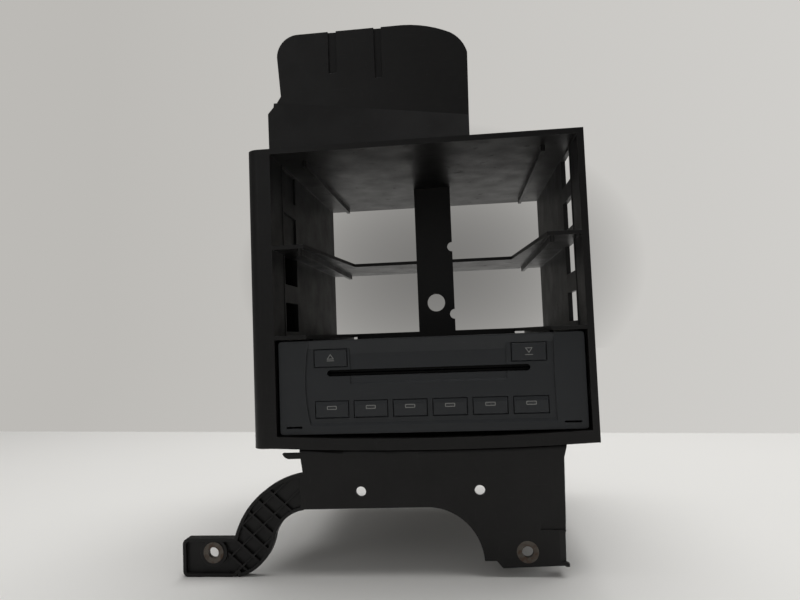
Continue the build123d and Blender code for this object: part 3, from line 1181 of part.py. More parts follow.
def idler_pin():
    """Pin of the idler gear, with a head outside the gear."""
    end = GEAR_X + GEAR_WIDTH
    pin = rod_x(SHAFT_RADIUS, GEAR_PLATE_X, end + 1, IDLER_Y, IDLER_Z)
    pin += rod_x(2 * SHAFT_RADIUS, end + 0.2, end + 1, IDLER_Y, IDLER_Z)
    return pin + rod_x(2 * SHAFT_RADIUS, GEAR_PLATE_X + GEAR_PLATE_THICKNESS, GEAR_X - 0.2, IDLER_Y, IDLER_Z)


def load_motor():
    """Loading motor's can with its front boss."""
    x0 = GEAR_PLATE_X - LOAD_MOTOR_LENGTH
    end = GEAR_PLATE_X + GEAR_PLATE_THICKNESS
    can = rod_x(LOAD_MOTOR_RADIUS, x0, GEAR_PLATE_X, LOAD_PINION_Y, LOAD_PINION_Z)
    can += rod_x(MOTOR_BOSS_RADIUS, GEAR_PLATE_X - 1, end, LOAD_PINION_Y, LOAD_PINION_Z)
    bore = MOTOR_SHAFT_RADIUS + RUNNING_FIT
    depth = MOTOR_SHAFT_DEPTH + 1
    return can - rod_x(bore, GEAR_PLATE_X - depth, end + 1, LOAD_PINION_Y, LOAD_PINION_Z)


def load_pinion():
    """Motor shaft with its pinion."""
    y, z = LOAD_PINION_Y, LOAD_PINION_Z
    gear = side_gear(LOAD_PINION_TEETH, y, z, MOTOR_SHAFT_RADIUS / 2, LOAD_PINION_TURN)
    return gear + rod_x(MOTOR_SHAFT_RADIUS, GEAR_PLATE_X - MOTOR_SHAFT_DEPTH, GEAR_X + GEAR_WIDTH, y, z)


def disc_guide():
    """Plate above the roller that the disc runs under, held by a lug at each side."""
    low = SLOT_Z + DISC_THICKNESS / 2 + GUIDE_GAP
    high = low + GUIDE_THICKNESS
    guide = block(-GUIDE_HALF, GUIDE_HALF, GUIDE_FRONT, GUIDE_BACK, low, high)
    lug_top = GUIDE_LUG_Z + GUIDE_THICKNESS
    for side in (-1, 1):
        riser = sorted((side * GUIDE_HALF, side * (GUIDE_HALF - GUIDE_THICKNESS)))
        guide += block(riser[0], riser[1], GUIDE_FRONT, GUIDE_BACK, low, lug_top)
        lug = sorted((side * (GUIDE_HALF - GUIDE_THICKNESS), side * CASE_INNER_HALF))
        guide += block(lug[0], lug[1], GUIDE_FRONT, GUIDE_BACK, GUIDE_LUG_Z, lug_top)
    return guide


# ---------------------------------------------------------------- disc lift
def tray_z(number):
    """Underside of a tray, counted from the top."""
    return TOP_TRAY_Z - (number - 1) * TRAY_PITCH


def disc_tray(number):
    """Flat tray with a round seat and an opening for the turntable and the pickup."""
    z0 = tray_z(number)
    z1 = z0 + TRAY_THICKNESS
    plate = Pos(0, DISC_Y) * (Rectangle(2 * TRAY_HALF_WIDTH, 2 * TRAY_HALF_LENGTH) + Circle(TRAY_RING))
    tray = from_above(plate, z0, z1)
    tray -= rod_z(DISC_RADIUS + TRAY_SEAT_PLAY, 0, DISC_Y, z1 - TRAY_SEAT_DEPTH, z1 + 1)
    tray -= rod_z(TRAY_HUB_OPENING, 0, DISC_Y, z0 - 1, z1 + 1)
    half = TRAY_PICKUP_HALF
    return tray - block(0, TRAY_PICKUP_REACH, DISC_Y - half, DISC_Y + half, z0 - 1, z1 + 1)


def lift_frame():
    """Frame of the lift: base ring, a comb at each side for the trays and four nuts."""
    y0 = SPINDLES[0][1] - NUT_RADIUS
    y1 = SPINDLES[2][1] + NUT_RADIUS
    frame = block(-COMB_OUTER, COMB_OUTER, y0, y1, LIFT_BOTTOM, LIFT_BASE_TOP)
    comb_front = DISC_Y - COMB_HALF_LENGTH
    comb_back = DISC_Y + COMB_HALF_LENGTH
    half = LIFT_OPENING_HALF
    frame -= block(-half, half, comb_front, comb_back, LIFT_BOTTOM - 1, LIFT_BASE_TOP + 1)
    for side in (-1, 1):
        comb = sorted((side * COMB_INNER, side * COMB_OUTER))
        frame += block(comb[0], comb[1], comb_front, comb_back, LIFT_BOTTOM, LIFT_TOP)
    for number in range(1, TRAYS + 1):
        z0 = tray_z(number) - TRAY_PLAY
        z1 = tray_z(number) + TRAY_THICKNESS + TRAY_PLAY
        reach = TRAY_HALF_WIDTH + TRAY_PLAY
        frame -= block(-reach, reach, comb_front - 1, comb_back + 1, z0, z1)
    for x, y in SPINDLES:
        frame += rod_z(NUT_RADIUS, x, y, LIFT_BOTTOM, LIFT_TOP)
    for x, y in SPINDLES:
        frame -= rod_z(SPINDLE_RADIUS + RUNNING_FIT, x, y, LIFT_BOTTOM - 1, LIFT_TOP + 1)
    return frame


def lift_spindle(x, y):
    """Lift spindle with its gear, its belt pulley and a pin at each end."""
    outline = Pos(x, y) * gear_outline(SPINDLE_GEAR_TEETH, 0.0)
    gear = from_above(outline, SPINDLE_GEAR_BOTTOM, SPINDLE_GEAR_TOP)
    spindle = gear + rod_z(PULLEY_RADIUS, x, y, SPINDLE_GEAR_TOP - 0.5, PULLEY_TOP)
    spindle += rod_z(SPINDLE_RADIUS, x, y, CASE_FLOOR + SPINDLE_FOOT_GAP, CASE_TOP_INNER - SPINDLE_FOOT_GAP)
    return spindle + rod_z(SPINDLE_PIN - RUNNING_FIT, x, y, -CASE_HALF_HEIGHT, CASE_HALF_HEIGHT)


def timing_belt():
    """Belt round the four pulleys."""
    inner = PULLEY_RADIUS + BELT_GAP
    outer = inner + BELT_THICKNESS
    width = 2 * SPINDLE_X
    length = 2 * SPINDLE_HALF_SPAN
    outside = RectangleRounded(width + 2 * outer, length + 2 * outer, outer)
    inside = RectangleRounded(width + 2 * inner, length + 2 * inner, inner)
    z0 = SPINDLE_GEAR_TOP + (PULLEY_WIDTH - BELT_WIDTH) / 2
    return from_above(Pos(0, DISC_Y) * (outside - inside), z0, z0 + BELT_WIDTH)


def lift_motor():
    """Lift motor's can, standing on its bracket."""
    x, y = LIFT_PINION_X, LIFT_PINION_Y
    can = rod_z(LIFT_MOTOR_RADIUS, x, y, LIFT_MOTOR_BOTTOM, LIFT_MOTOR_BOTTOM + LIFT_MOTOR_LENGTH)
    can += rod_z(MOTOR_BOSS_RADIUS, x, y, LIFT_MOTOR_BOTTOM - LIFT_BRACKET_SHEET, LIFT_MOTOR_BOTTOM + 1)
    bore = MOTOR_SHAFT_RADIUS + RUNNING_FIT
    return can - rod_z(bore, x, y, LIFT_MOTOR_BOTTOM - 3, LIFT_MOTOR_BOTTOM + MOTOR_SHAFT_DEPTH + 1)


def lift_motor_bracket():
    """Folded bracket from the case's floor to the lift motor's face."""
    x, y = LIFT_PINION_X, LIFT_PINION_Y
    sheet = LIFT_BRACKET_SHEET
    x0 = x - LIFT_BRACKET_HALF
    x1 = x + LIFT_BRACKET_HALF
    top = LIFT_MOTOR_BOTTOM
    y0 = y - LIFT_BRACKET_LEG
    bracket = block(x0, x1, y0, y + LIFT_BRACKET_BACK, top - sheet, top)
    bracket += block(x0, x1, y0, y0 + sheet, CASE_FLOOR, top)
    bracket += block(x0, x1, y0 - LIFT_BRACKET_FOOT, y0 + sheet, CASE_FLOOR, CASE_FLOOR + sheet)
    return bracket - rod_z(MOTOR_BOSS_RADIUS, x, y, top - sheet - 1, top + 1)


def lift_pinion():
    """Lift motor's shaft with its pinion."""
    x, y = LIFT_PINION_X, LIFT_PINION_Y
    gear = Pos(x, y) * gear_outline(LIFT_PINION_TEETH, LIFT_PINION_TURN)
    pinion = from_above(gear, SPINDLE_GEAR_BOTTOM, SPINDLE_GEAR_TOP)
    shaft_top = LIFT_MOTOR_BOTTOM + MOTOR_SHAFT_DEPTH
    return pinion + rod_z(MOTOR_SHAFT_RADIUS, x, y, SPINDLE_GEAR_BOTTOM, shaft_top)


# ---------------------------------------------------------------- play deck
def damper_places():
    """Corners of the deck where the rubber dampers stand."""
    xs = (DECK_LEFT + DAMPER_INSET, DECK_RIGHT - DAMPER_INSET)
    ys = (DECK_FRONT + DAMPER_INSET, DECK_BACK - DAMPER_INSET)
    return [(x, y) for x in xs for y in ys]


def play_deck():
    """Steel deck with uprights for the guide rod and the lead screw."""
    deck = block(DECK_LEFT, DECK_RIGHT, DECK_FRONT, DECK_BACK, DECK_TOP - DECK_SHEET, DECK_TOP)
    top = SLED_AXIS_Z + SLED_HALF_HEIGHT
    y0 = GUIDE_ROD_Y - SLED_OVERHANG
    y1 = LEAD_SCREW_Y + SLED_OVERHANG
    low = DECK_TOP - DECK_SHEET
    deck += block(UPRIGHT_RIGHT, UPRIGHT_RIGHT + UPRIGHT_SHEET, y0, y1, low, top)
    deck += block(UPRIGHT_LEFT, UPRIGHT_LEFT + UPRIGHT_SHEET, y0, y0 + 2 * SLED_OVERHANG, low, top)
    end = UPRIGHT_RIGHT + UPRIGHT_SHEET + 1
    deck -= rod_x(SHAFT_RADIUS, UPRIGHT_LEFT - 1, end, GUIDE_ROD_Y, SLED_AXIS_Z)
    deck -= rod_x(SHAFT_RADIUS + RUNNING_FIT, UPRIGHT_RIGHT - 1, end, LEAD_SCREW_Y, SLED_AXIS_Z)
    for x, y in damper_places():
        deck -= rod_z(DAMPER_NECK, x, y, DECK_TOP - DECK_SHEET - 1, DECK_TOP + 1)
    return deck


def deck_dampers():
    """Rubber damper under each corner of the deck, with its neck through the deck."""
    dampers = []
    for x, y in damper_places():
        damper = rod_z(DAMPER_RADIUS, x, y, CASE_FLOOR, DECK_TOP - DECK_SHEET)
        damper += rod_z(DAMPER_NECK, x, y, DECK_TOP - DECK_SHEET - 1, DECK_TOP + DAMPER_PROUD)
        dampers.append(damper)
    return dampers


def spindle_motor():
    """Flat motor under the turntable."""
    top = DECK_TOP + SPINDLE_MOTOR_HEIGHT
    motor = rod_z(SPINDLE_MOTOR_RADIUS, 0, DISC_Y, DECK_TOP, top)
    return motor - rod_z(MOTOR_SHAFT_RADIUS + RUNNING_FIT, 0, DISC_Y, DECK_TOP + 1, top + 1)


def turntable():
    """Turntable with its hub and shaft."""
    low = DECK_TOP + SPINDLE_MOTOR_HEIGHT + TURNTABLE_GAP
    high = low + TURNTABLE_THICKNESS
    table = rod_z(TURNTABLE_RADIUS, 0, DISC_Y, low, high)
    table += Pos(0, DISC_Y, high + HUB_HEIGHT / 2) * Cone(HUB_RADIUS, HUB_RADIUS - HUB_TAPER, HUB_HEIGHT)
    shaft_foot = DECK_TOP + 1 + TURNTABLE_GAP
    return table + rod_z(MOTOR_SHAFT_RADIUS, 0, DISC_Y, shaft_foot, low + TURNTABLE_THICKNESS / 2)


def pickup_sled():
    """Sled that carries the lens, on the guide rod and the lead screw."""
    x1 = SLED_LEFT + SLED_WIDTH
    y0 = GUIDE_ROD_Y - SLED_OVERHANG
    y1 = LEAD_SCREW_Y + SLED_OVERHANG
    low = SLED_AXIS_Z - SLED_HALF_HEIGHT
    high = SLED_AXIS_Z + SLED_HALF_HEIGHT
    sled = block(SLED_LEFT, x1, y0, y1, low, high)
    for y in (GUIDE_ROD_Y, LEAD_SCREW_Y):
        sled -= rod_x(SHAFT_RADIUS + RUNNING_FIT, SLED_LEFT - 1, x1 + 1, y, SLED_AXIS_Z)
    pocket_floor = high - LENS_HEIGHT - LENS_TRAVEL
    return sled - rod_z(LENS_RADIUS + LENS_GAP, LENS_X, DISC_Y, pocket_floor, high + 1)


def lens():
    """Lens holder with its lens, floating in the sled's pocket."""
    high = SLED_AXIS_Z + SLED_HALF_HEIGHT
    low = high - LENS_HEIGHT + LENS_GAP
    holder = rod_z(LENS_RADIUS, LENS_X, DISC_Y, low, high)
    return holder + rod_z(LENS_RADIUS / 2, LENS_X, DISC_Y, high - LENS_HEIGHT / 2, high + LENS_PROUD)


def guide_rod():
    """Steel rod that the sled slides on."""
    return rod_x(SHAFT_RADIUS, UPRIGHT_LEFT, UPRIGHT_RIGHT + UPRIGHT_SHEET, GUIDE_ROD_Y, SLED_AXIS_Z)


def lead_screw():
    """Lead screw of the sled, from inside its motor to the right upright."""
    start = UPRIGHT_LEFT - LEAD_SCREW_DEPTH
    return rod_x(SHAFT_RADIUS, start, UPRIGHT_RIGHT + UPRIGHT_SHEET, LEAD_SCREW_Y, SLED_AXIS_Z)


def sled_motor():
    """Motor of the lead screw, on a small foot."""
    x0 = UPRIGHT_LEFT - SLED_MOTOR_LENGTH
    can = rod_x(SLED_MOTOR_RADIUS, x0, UPRIGHT_LEFT, LEAD_SCREW_Y, SLED_AXIS_Z)
    half = SLED_MOTOR_RADIUS - 1
    can += block(x0 + 1, UPRIGHT_LEFT - 1, LEAD_SCREW_Y - half, LEAD_SCREW_Y + half, DECK_TOP, SLED_AXIS_Z)
    bore = SHAFT_RADIUS + RUNNING_FIT
    start = UPRIGHT_LEFT - LEAD_SCREW_DEPTH - 1
    return can - rod_x(bore, start, UPRIGHT_LEFT + 1, LEAD_SCREW_Y, SLED_AXIS_Z)


# ---------------------------------------------------------------- rear
def main_board():
    """Upright printed board on the standoffs of the case's back."""
    y1 = MAIN_BOARD_Y + MAIN_BOARD_THICKNESS
    w = MAIN_BOARD_HALF_WIDTH
    h = MAIN_BOARD_HALF_HEIGHT
    return block(-w, w, MAIN_BOARD_Y, y1, -h, h)


def rear_connector():
    """Plug socket on the main board, open to the rear."""
    y0 = MAIN_BOARD_Y + MAIN_BOARD_THICKNESS
    y1 = CASE_BACK + CONNECTOR_PROUD
    w = CONNECTOR_WIDTH / 2
    h = CONNECTOR_HEIGHT / 2
    wall = CONNECTOR_WALL
    socket = block(CONNECTOR_X - w, CONNECTOR_X + w, y0, y1, -h, h)
    x0 = CONNECTOR_X - w + wall
    x1 = CONNECTOR_X + w - wall
    return socket - block(x0, x1, y0 + CONNECTOR_FLOOR, y1 + 1, -h + wall, h - wall)


# ---------------------------------------------------------------- export
def pieces():
    """Every node by name, as one solid or a list of separate solids."""
    nodes = {
        "carrier": carrier(),
        "mounting_bushes": mounting_bushes(),
        "fascia": fascia(),
        "eject_button": key(-TOP_KEY_X, TOP_KEY_Z, TOP_KEY_HEIGHT, TOP_KEY_BROW),
        "load_button": key(TOP_KEY_X, TOP_KEY_Z, TOP_KEY_HEIGHT, TOP_KEY_BROW),
        "slot_felt": slot_felt(),
        "keypad_mat": keypad_mat(),
        "front_board": front_board(),
        "board_screws": board_screws(),
        "indicator_leds": led_boxes(0.0),
        "light_guide": light_guide(),
        "chassis_tray": chassis_tray(),
        "top_cover": top_cover(),
        "cover_screws": cover_screws(),
        "retaining_springs": retaining_springs(),
        "roller_shaft": roller_shaft(),
        "roller_rubber": roller_rubber(),
        "roller_bushes": roller_bushes(),
        "roller_gear": side_gear(ROLLER_TEETH, ROLLER_Y, ROLLER_Z, SHAFT_RADIUS, 0.0),
        "idler_gear": side_gear(IDLER_TEETH, IDLER_Y, IDLER_Z, SHAFT_RADIUS + RUNNING_FIT, IDLER_TURN),
        "idler_pin": idler_pin(),
        "gear_plate": gear_plate(),
        "load_motor": load_motor(),
        "load_pinion": load_pinion(),
        "disc_guide": disc_guide(),
        "lift_frame": lift_frame(),
        "timing_belt": timing_belt(),
        "lift_motor": lift_motor(),
        "lift_motor_bracket": lift_motor_bracket(),
        "lift_pinion": lift_pinion(),
        "play_deck": play_deck(),
        "deck_dampers": deck_dampers(),
        "spindle_motor": spindle_motor(),
        "turntable": turntable(),
        "pickup_sled": pickup_sled(),
        "lens": lens(),
        "guide_rod": guide_rod(),
        "lead_screw": lead_screw(),
        "sled_motor": sled_motor(),
        "main_board": main_board(),
        "rear_connector": rear_connector(),
    }
    for number, x in enumerate(DISC_KEY_CENTRES, 1):
        nodes[f"disc_button_{number}"] = key(x, DISC_KEY_Z, DISC_KEY_HEIGHT, DISC_KEY_BROW)
    for number in range(1, TRAYS + 1):
        nodes[f"disc_tray_{number}"] = disc_tray(number)
    for number, place in enumerate(SPINDLES, 1):
        nodes[f"lift_spindle_{number}"] = lift_spindle(*place)
    return nodes


def main():
    """Write every node to its own file, moved to the bolt line's origin."""
    os.makedirs("parts", exist_ok=True)
    for name, shape in pieces().items():
        solids = shape if isinstance(shape, list) else [shape]
        moved = [TO_ORIGIN * solid for solid in solids]
        whole = moved[0] if len(moved) == 1 else Compound(children=moved)
        export_step(whole, f"parts/{name}.step")


main()
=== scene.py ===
"""Car CD changer in its dash carrier: finishes, key signs, small fittings and the stage.

The solids come in as a fixed frame, in metres. The disc slot faces -Y and Z is up.
"""

import json
import math

import bmesh
import bpy
from bpy.props import FloatProperty, FloatVectorProperty, PointerProperty
from mathutils import Matrix, Vector

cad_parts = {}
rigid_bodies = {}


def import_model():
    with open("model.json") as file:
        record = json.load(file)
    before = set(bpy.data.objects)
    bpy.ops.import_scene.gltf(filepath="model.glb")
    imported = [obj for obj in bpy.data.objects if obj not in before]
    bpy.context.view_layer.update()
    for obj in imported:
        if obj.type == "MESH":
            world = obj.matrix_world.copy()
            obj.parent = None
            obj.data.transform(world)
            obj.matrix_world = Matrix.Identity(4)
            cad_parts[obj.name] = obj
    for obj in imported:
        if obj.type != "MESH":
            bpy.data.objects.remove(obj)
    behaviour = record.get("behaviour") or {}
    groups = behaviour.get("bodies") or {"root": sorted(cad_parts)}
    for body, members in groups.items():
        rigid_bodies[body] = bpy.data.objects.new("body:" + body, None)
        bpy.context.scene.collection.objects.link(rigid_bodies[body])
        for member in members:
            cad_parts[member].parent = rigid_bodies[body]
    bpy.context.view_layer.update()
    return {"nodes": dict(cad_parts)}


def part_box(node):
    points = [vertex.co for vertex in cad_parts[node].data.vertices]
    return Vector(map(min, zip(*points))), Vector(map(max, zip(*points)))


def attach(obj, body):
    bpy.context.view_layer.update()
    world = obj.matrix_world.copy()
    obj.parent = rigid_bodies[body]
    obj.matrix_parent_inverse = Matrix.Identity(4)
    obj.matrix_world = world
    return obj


bl_info = {
    "name": "Car CD changer",
    "version": (1, 0, 0),
    "blender": (4, 5, 0),
    "location": "View3D > Sidebar > CD changer",
    "description": "Finishes and small fittings of a car CD changer in its dash carrier",
    "category": "Object",
}

for leftover in list(bpy.data.objects):
    bpy.data.objects.remove(leftover, do_unlink=True)
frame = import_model()
NODES = frame["nodes"]

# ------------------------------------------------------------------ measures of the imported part
MM = 0.001
CARRIER_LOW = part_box("carrier")[0]

# ------------------------------------------------------------------ camera of the photo
CAMERA_PLACE = Vector((0.06254, -0.36739, 0.13044))
CAMERA_RIGHT = Vector((0.9942, 0.1010, -0.0378))
CAMERA_DOWN = Vector((-0.0434, 0.0534, -0.9976))
CAMERA_AHEAD = Vector((-0.0988, 0.9934, 0.0574))
PHOTO_WIDTH = 800
FOCAL_PIXELS = 602.33
SENSOR_WIDTH = 36.0
CLIP_NEAR = 0.01
CLIP_FAR = 50.0

# ------------------------------------------------------------------ stage
STAGE_REACH = 6.0                   # floor to each side and to the front, and the wall's height
STAGE_BACK = 4.0                    # where the wall stands
WALL_FAN = 0.40                     # the grey runs from left to right in a fan from this far in front; painted light: the wall's grey is lighter on the right, as the room's light fell on it
WALL_FAN_SPREAD = 0.6
WALL_BOUNCE = ((0.50, 0.49, 0.47), (0.54, 0.53, 0.51))  # wall's colours as the lamps light it
EDGE_SLANT = 0.1445                 # the table's far edge runs a little askew
EDGE_FADE = 0.012
PAINTED_SHADE_PLACE = (-0.10, 0.61)         # middle of the wall's painted shade, a soft dimming that stands in for the changer's shadow, in x and z
PAINTED_SHADE_SIZE = (1.0, 0.72)
PAINTED_SHADE_REACH = 2.2
CEILING_PLACE = (0.25, 0.35, 1.75)
CEILING_AIM = (0.0, 0.05, 0.05)
CEILING_SIZE = 1.5
FRONT_PLACE = (-0.9, -1.5, 0.9)
FRONT_AIM = (0.0, 0.05, 0.12)
FRONT_SIZE = 1.2
AIR_COLOUR = (1.0, 0.995, 0.985)

# ------------------------------------------------------------------ key signs
SIGN_PROUD = 0.04 * MM
SIGN_SUNK = 0.10 * MM
SIGN_WIDTH = 4.6 * MM               # triangles on the eject and load keys
SIGN_HEIGHT = 3.3 * MM
SIGN_BAR_GAP = 0.7 * MM
EJECT_SIGN_BASE = -0.7 * MM         # triangle's base, from the key's middle
LOAD_SIGN_BASE = 2.4 * MM
BAR_CORNER = 0.3                    # as a share of the line's width
WINDOW_CORNER = 0.5 * MM
WINDOW_INNER_CORNER = 0.25 * MM

# ------------------------------------------------------------------ colours of single small parts
PANEL_WORN = (0.085, 0.088, 0.09)
KEY_WORN = (0.095, 0.098, 0.10)
FELT_BLACK = (0.0035, 0.0035, 0.0035)
SCREW_BLACK = (0.022, 0.022, 0.024)
SCREW_WORN = (0.24, 0.24, 0.25)
# dust and painted top light on the screws' upward faces
SCREW_DUST_AND_TOP_LIGHT = (0.03, 0.03, 0.03)
DIODE_RESIN = (0.80, 0.72, 0.38)
CLEAR_ACRYLIC = (0.92, 0.94, 0.95)
DAMPER_RED = (0.085, 0.035, 0.028)
LENS_BLUE = (0.07, 0.09, 0.17)
SOCKET_BLACK = (0.035, 0.035, 0.036)
TINNED = (0.50, 0.50, 0.48)
BOARD_EDGE = (0.30, 0.27, 0.16)


def colour_property(name, description, default):
    """Colour setting shown as a swatch."""
    return FloatVectorProperty(
        name=name, description=description, default=default, subtype="COLOR", size=3, min=0, max=1
    )


def share_property(name, description, default):
    """Setting from nought to one."""
    return FloatProperty(name=name, description=description, default=default, subtype="FACTOR", min=0, max=1)


def length_property(name, description, default):
    """Setting in metres."""
    return FloatProperty(
        name=name, description=description, default=default, unit="LENGTH", min=0, precision=5
    )


def power_property(name, description, default):
    """Setting in watts."""
    return FloatProperty(name=name, description=description, default=default, unit="POWER", min=0)


# ------------------------------------------------------------------ settings
class CarrierLook(bpy.types.PropertyGroup):
    """Moulded plastic of the dash carrier."""

    colour: colour_property("Plastic", "Colour of the moulded plastic", (0.0058, 0.0054, 0.0053))
    worn: colour_property("Worn edge", "Colour where edges are rubbed", (0.050, 0.048, 0.046))
    # dust and painted top light: colour laid on upward faces, partly settled dust, partly painted light from
    # above
    dust_and_top_light: colour_property("Dust", "Dust that lies on upward faces", (0.110, 0.104, 0.094))
    roughness: share_property("Roughness", "Roughness of the satin surface", 0.40)
    wear: share_property("Wear", "How much of the edges is rubbed light", 0.45)
    grain: length_property("Grain", "Size of the moulded grain", 0.0006)
    edge: length_property("Edge radius", "Rounding of the moulded edges", 0.0005)


class FaceLook(bpy.types.PropertyGroup):
    """Painted front of the changer."""

    panel: colour_property("Panel", "Charcoal paint of the face", (0.0190, 0.0210, 0.0235))
    keys: colour_property("Keys", "Charcoal paint of the keys", (0.0215, 0.0235, 0.0262))
    signs: colour_property("Signs", "Light grey of the signs and windows", (0.235, 0.235, 0.225))
    window: colour_property("Window", "Dark lens inside a key's window", (0.030, 0.032, 0.034))
    roughness: share_property("Roughness", "Roughness of the paint", 0.47)
    sign_line: length_property("Sign line", "Line width of the key signs", 0.00042)
    window_width: length_property("Window width", "Width of a disc key's window", 0.0061)
    window_height: length_property("Window height", "Height of a disc key's window", 0.0023)
    window_drop: length_property("Window drop", "From the disc key's top to the window's middle", 0.0047)


class MetalLook(bpy.types.PropertyGroup):
    """Steel and zinc parts."""

    zinc: colour_property("Zinc", "Zinc-coated sheet", (0.52, 0.53, 0.54))
    bright: colour_property("Bright steel", "Ground pins and shafts", (0.64, 0.65, 0.66))
    dull: colour_property("Dull steel", "Bushes in the bolt pads", (0.125, 0.112, 0.098))
    rust: colour_property("Rust", "Stain on the bushes", (0.075, 0.036, 0.018))
    spring: colour_property("Spring steel", "Retaining springs", (0.42, 0.42, 0.43))


class InsideLook(bpy.types.PropertyGroup):
    """Plastics and rubbers inside the case."""

    nylon: colour_property("Nylon", "Gears and spindles", (0.72, 0.70, 0.64))
    acetal: colour_property("Acetal", "Black guides and frame", (0.022, 0.022, 0.023))
    tray: colour_property("Trays", "Disc trays", (0.135, 0.135, 0.142))
    board: colour_property("Board", "Solder mask of the boards", (0.018, 0.110, 0.045))
    rubber: colour_property("Rubber", "Rollers and belt", (0.030, 0.030, 0.030))
    mat: colour_property("Key mat", "Silicone mat behind the keys", (0.42, 0.42, 0.40))


class StageLook(bpy.types.PropertyGroup):
    """Floor, backdrop and lamps."""

    table: colour_property("Table", "Pale table top", (0.82, 0.81, 0.785))
    # painted light: the wall's grey is darker on the left and lighter on the right
    wall_left: colour_property("Wall left", "Pale grey seen behind on the left", (0.503, 0.491, 0.468))
    wall_right: colour_property("Wall right", "Pale grey seen behind on the right", (0.631, 0.620, 0.597))
    table_depth: length_property("Table depth", "Where the table ends and the wall's grey starts", 0.523)
    # painted shade: how much of the wall's glow is left at the middle of the shadow painted behind the
    # changer
    painted_shade: share_property("Shade", "Light left on the wall straight behind the changer", 0.33)
    ceiling: power_property("Ceiling lamp", "Power of the large lamp above", 30.0)
    front: power_property("Front lamp", "Power of the soft lamp in front", 2.5)
    air: share_property("Ambient light", "Strength of the even light all round", 0.20)


class ChangerSettings(bpy.types.PropertyGroup):
    """All settings of the changer."""

    carrier: PointerProperty(type=CarrierLook, name="Carrier", description="Moulded carrier")
    face: PointerProperty(type=FaceLook, name="Face", description="Front panel and keys")
    metal: PointerProperty(type=MetalLook, name="Metal", description="Metal parts")
    inside: PointerProperty(type=InsideLook, name="Inside", description="Parts inside the case")
    stage: PointerProperty(type=StageLook, name="Stage", description="Floor, backdrop and lamps")


def look():
    """The scene's settings."""
    return bpy.context.scene.changer


# ------------------------------------------------------------------ finishes
class Finish:
    """Builds one material. Patterns are laid out by place in the part, so they keep their real size."""

    def __init__(self, name):
        self.material = bpy.data.materials.new(name)
        self.material.use_nodes = True
        self.tree = self.material.node_tree
        self.surface = self.tree.nodes["Principled BSDF"]
        self.place = self.add("ShaderNodeTexCoord").outputs["Object"]
        self.shape = None

    def add(self, kind, **settings):
        """A node with its settings."""
        node = self.tree.nodes.new(kind)
        for key, value in settings.items():
            setattr(node, key, value)
        return node

    def join(self, socket, value):
        """Link or write a value to a socket."""
        if isinstance(value, bpy.types.NodeSocket):
            self.tree.links.new(value, socket)
        elif value is not None:
            if socket.type == "RGBA" and len(value) == 3:
                value = (*value, 1)
            socket.default_value = value

    def stretched(self, stretch):
        """Places scaled along each axis."""
        mapping = self.add("ShaderNodeMapping")
        self.join(mapping.inputs["Vector"], self.place)
        mapping.inputs["Scale"].default_value = stretch
        return mapping.outputs["Vector"]

    def noise(self, size, detail=2.0, place=None, distortion=0.0):
        """Cloudy pattern whose spots are about size metres."""
        node = self.add("ShaderNodeTexNoise")
        self.join(node.inputs["Vector"], place or self.place)
        node.inputs["Scale"].default_value = 1 / size
        node.inputs["Detail"].default_value = detail
        node.inputs["Distortion"].default_value = distortion
        return node.outputs["Fac"]

    def cells(self, size):
        """Cell pattern whose cells are about size metres."""
        node = self.add("ShaderNodeTexVoronoi")
        self.join(node.inputs["Vector"], self.place)
        node.inputs["Scale"].default_value = 1 / size
        return node.outputs["Distance"]

    def spread(self, value, low, high, to_low=0.0, to_high=1.0):
        """Stretch a value from one range to another."""
        node = self.add("ShaderNodeMapRange", clamp=True)
        self.join(node.inputs["Value"], value)
        for key, number in zip(("From Min", "From Max", "To Min", "To Max"), (low, high, to_low, to_high)):
            node.inputs[key].default_value = number
        return node.outputs["Result"]

    def sums(self, operation, first, second):
        """One sum on two values."""
        node = self.add("ShaderNodeMath", operation=operation)
        self.join(node.inputs[0], first)
        self.join(node.inputs[1], second)
        return node.outputs["Value"]

    def blend(self, share, first, second):
        """Mix two colours."""
        node = self.add("ShaderNodeMix", data_type="RGBA")
        self.join(node.inputs["Factor"], share)
        self.join(node.inputs["A"], first)
        self.join(node.inputs["B"], second)
        return node.outputs["Result"]

    def tint(self, colour, factor):
        """The same colour, lighter or darker."""
        return tuple(min(1.0, part * factor) for part in colour)

    def rounded(self, radius):
        """Round off the edges for light to catch, and return where the edges are."""
        bevel = self.add("ShaderNodeBevel", samples=4)
        bevel.inputs["Radius"].default_value = radius
        plain = self.add("ShaderNodeNewGeometry")
        turn = self.add("ShaderNodeVectorMath", operation="DOT_PRODUCT")
        self.join(turn.inputs[0], bevel.outputs["Normal"])
        self.join(turn.inputs[1], plain.outputs["Normal"])
        self.shape = bevel.outputs["Normal"]
        return self.spread(turn.outputs["Value"], 0.995, 0.86)

    def facing_up(self):
        """How far a face looks up."""
        plain = self.add("ShaderNodeNewGeometry")
        parts = self.add("ShaderNodeSeparateXYZ")
        self.join(parts.inputs["Vector"], plain.outputs["Normal"])
        return self.spread(parts.outputs["Z"], 0.55, 0.98)

    def relief(self, height, depth, strength=1.0):
        """Raise the surface by a pattern, on top of what is there."""
        node = self.add("ShaderNodeBump")
        node.inputs["Distance"].default_value = depth
        node.inputs["Strength"].default_value = strength
        self.join(node.inputs["Height"], height)
        if self.shape is not None:
            self.join(node.inputs["Normal"], self.shape)
        self.shape = node.outputs["Normal"]

    def done(self, colour, roughness, **sockets):
        """Join everything to the surface shader."""
        self.join(self.surface.inputs["Base Color"], colour)
        self.join(self.surface.inputs["Roughness"], roughness)
        if self.shape is not None:
            self.join(self.surface.inputs["Normal"], self.shape)
        for key, value in sockets.items():
            self.join(self.surface.inputs[key.replace("_", " ")], value)
        return self.material


FINISHES = {}


def finish(name, maker, *values, **settings):
    """The finish of that name, made once."""
    if name not in FINISHES:
        FINISHES[name] = maker(name, *values, **settings)
    return FINISHES[name]


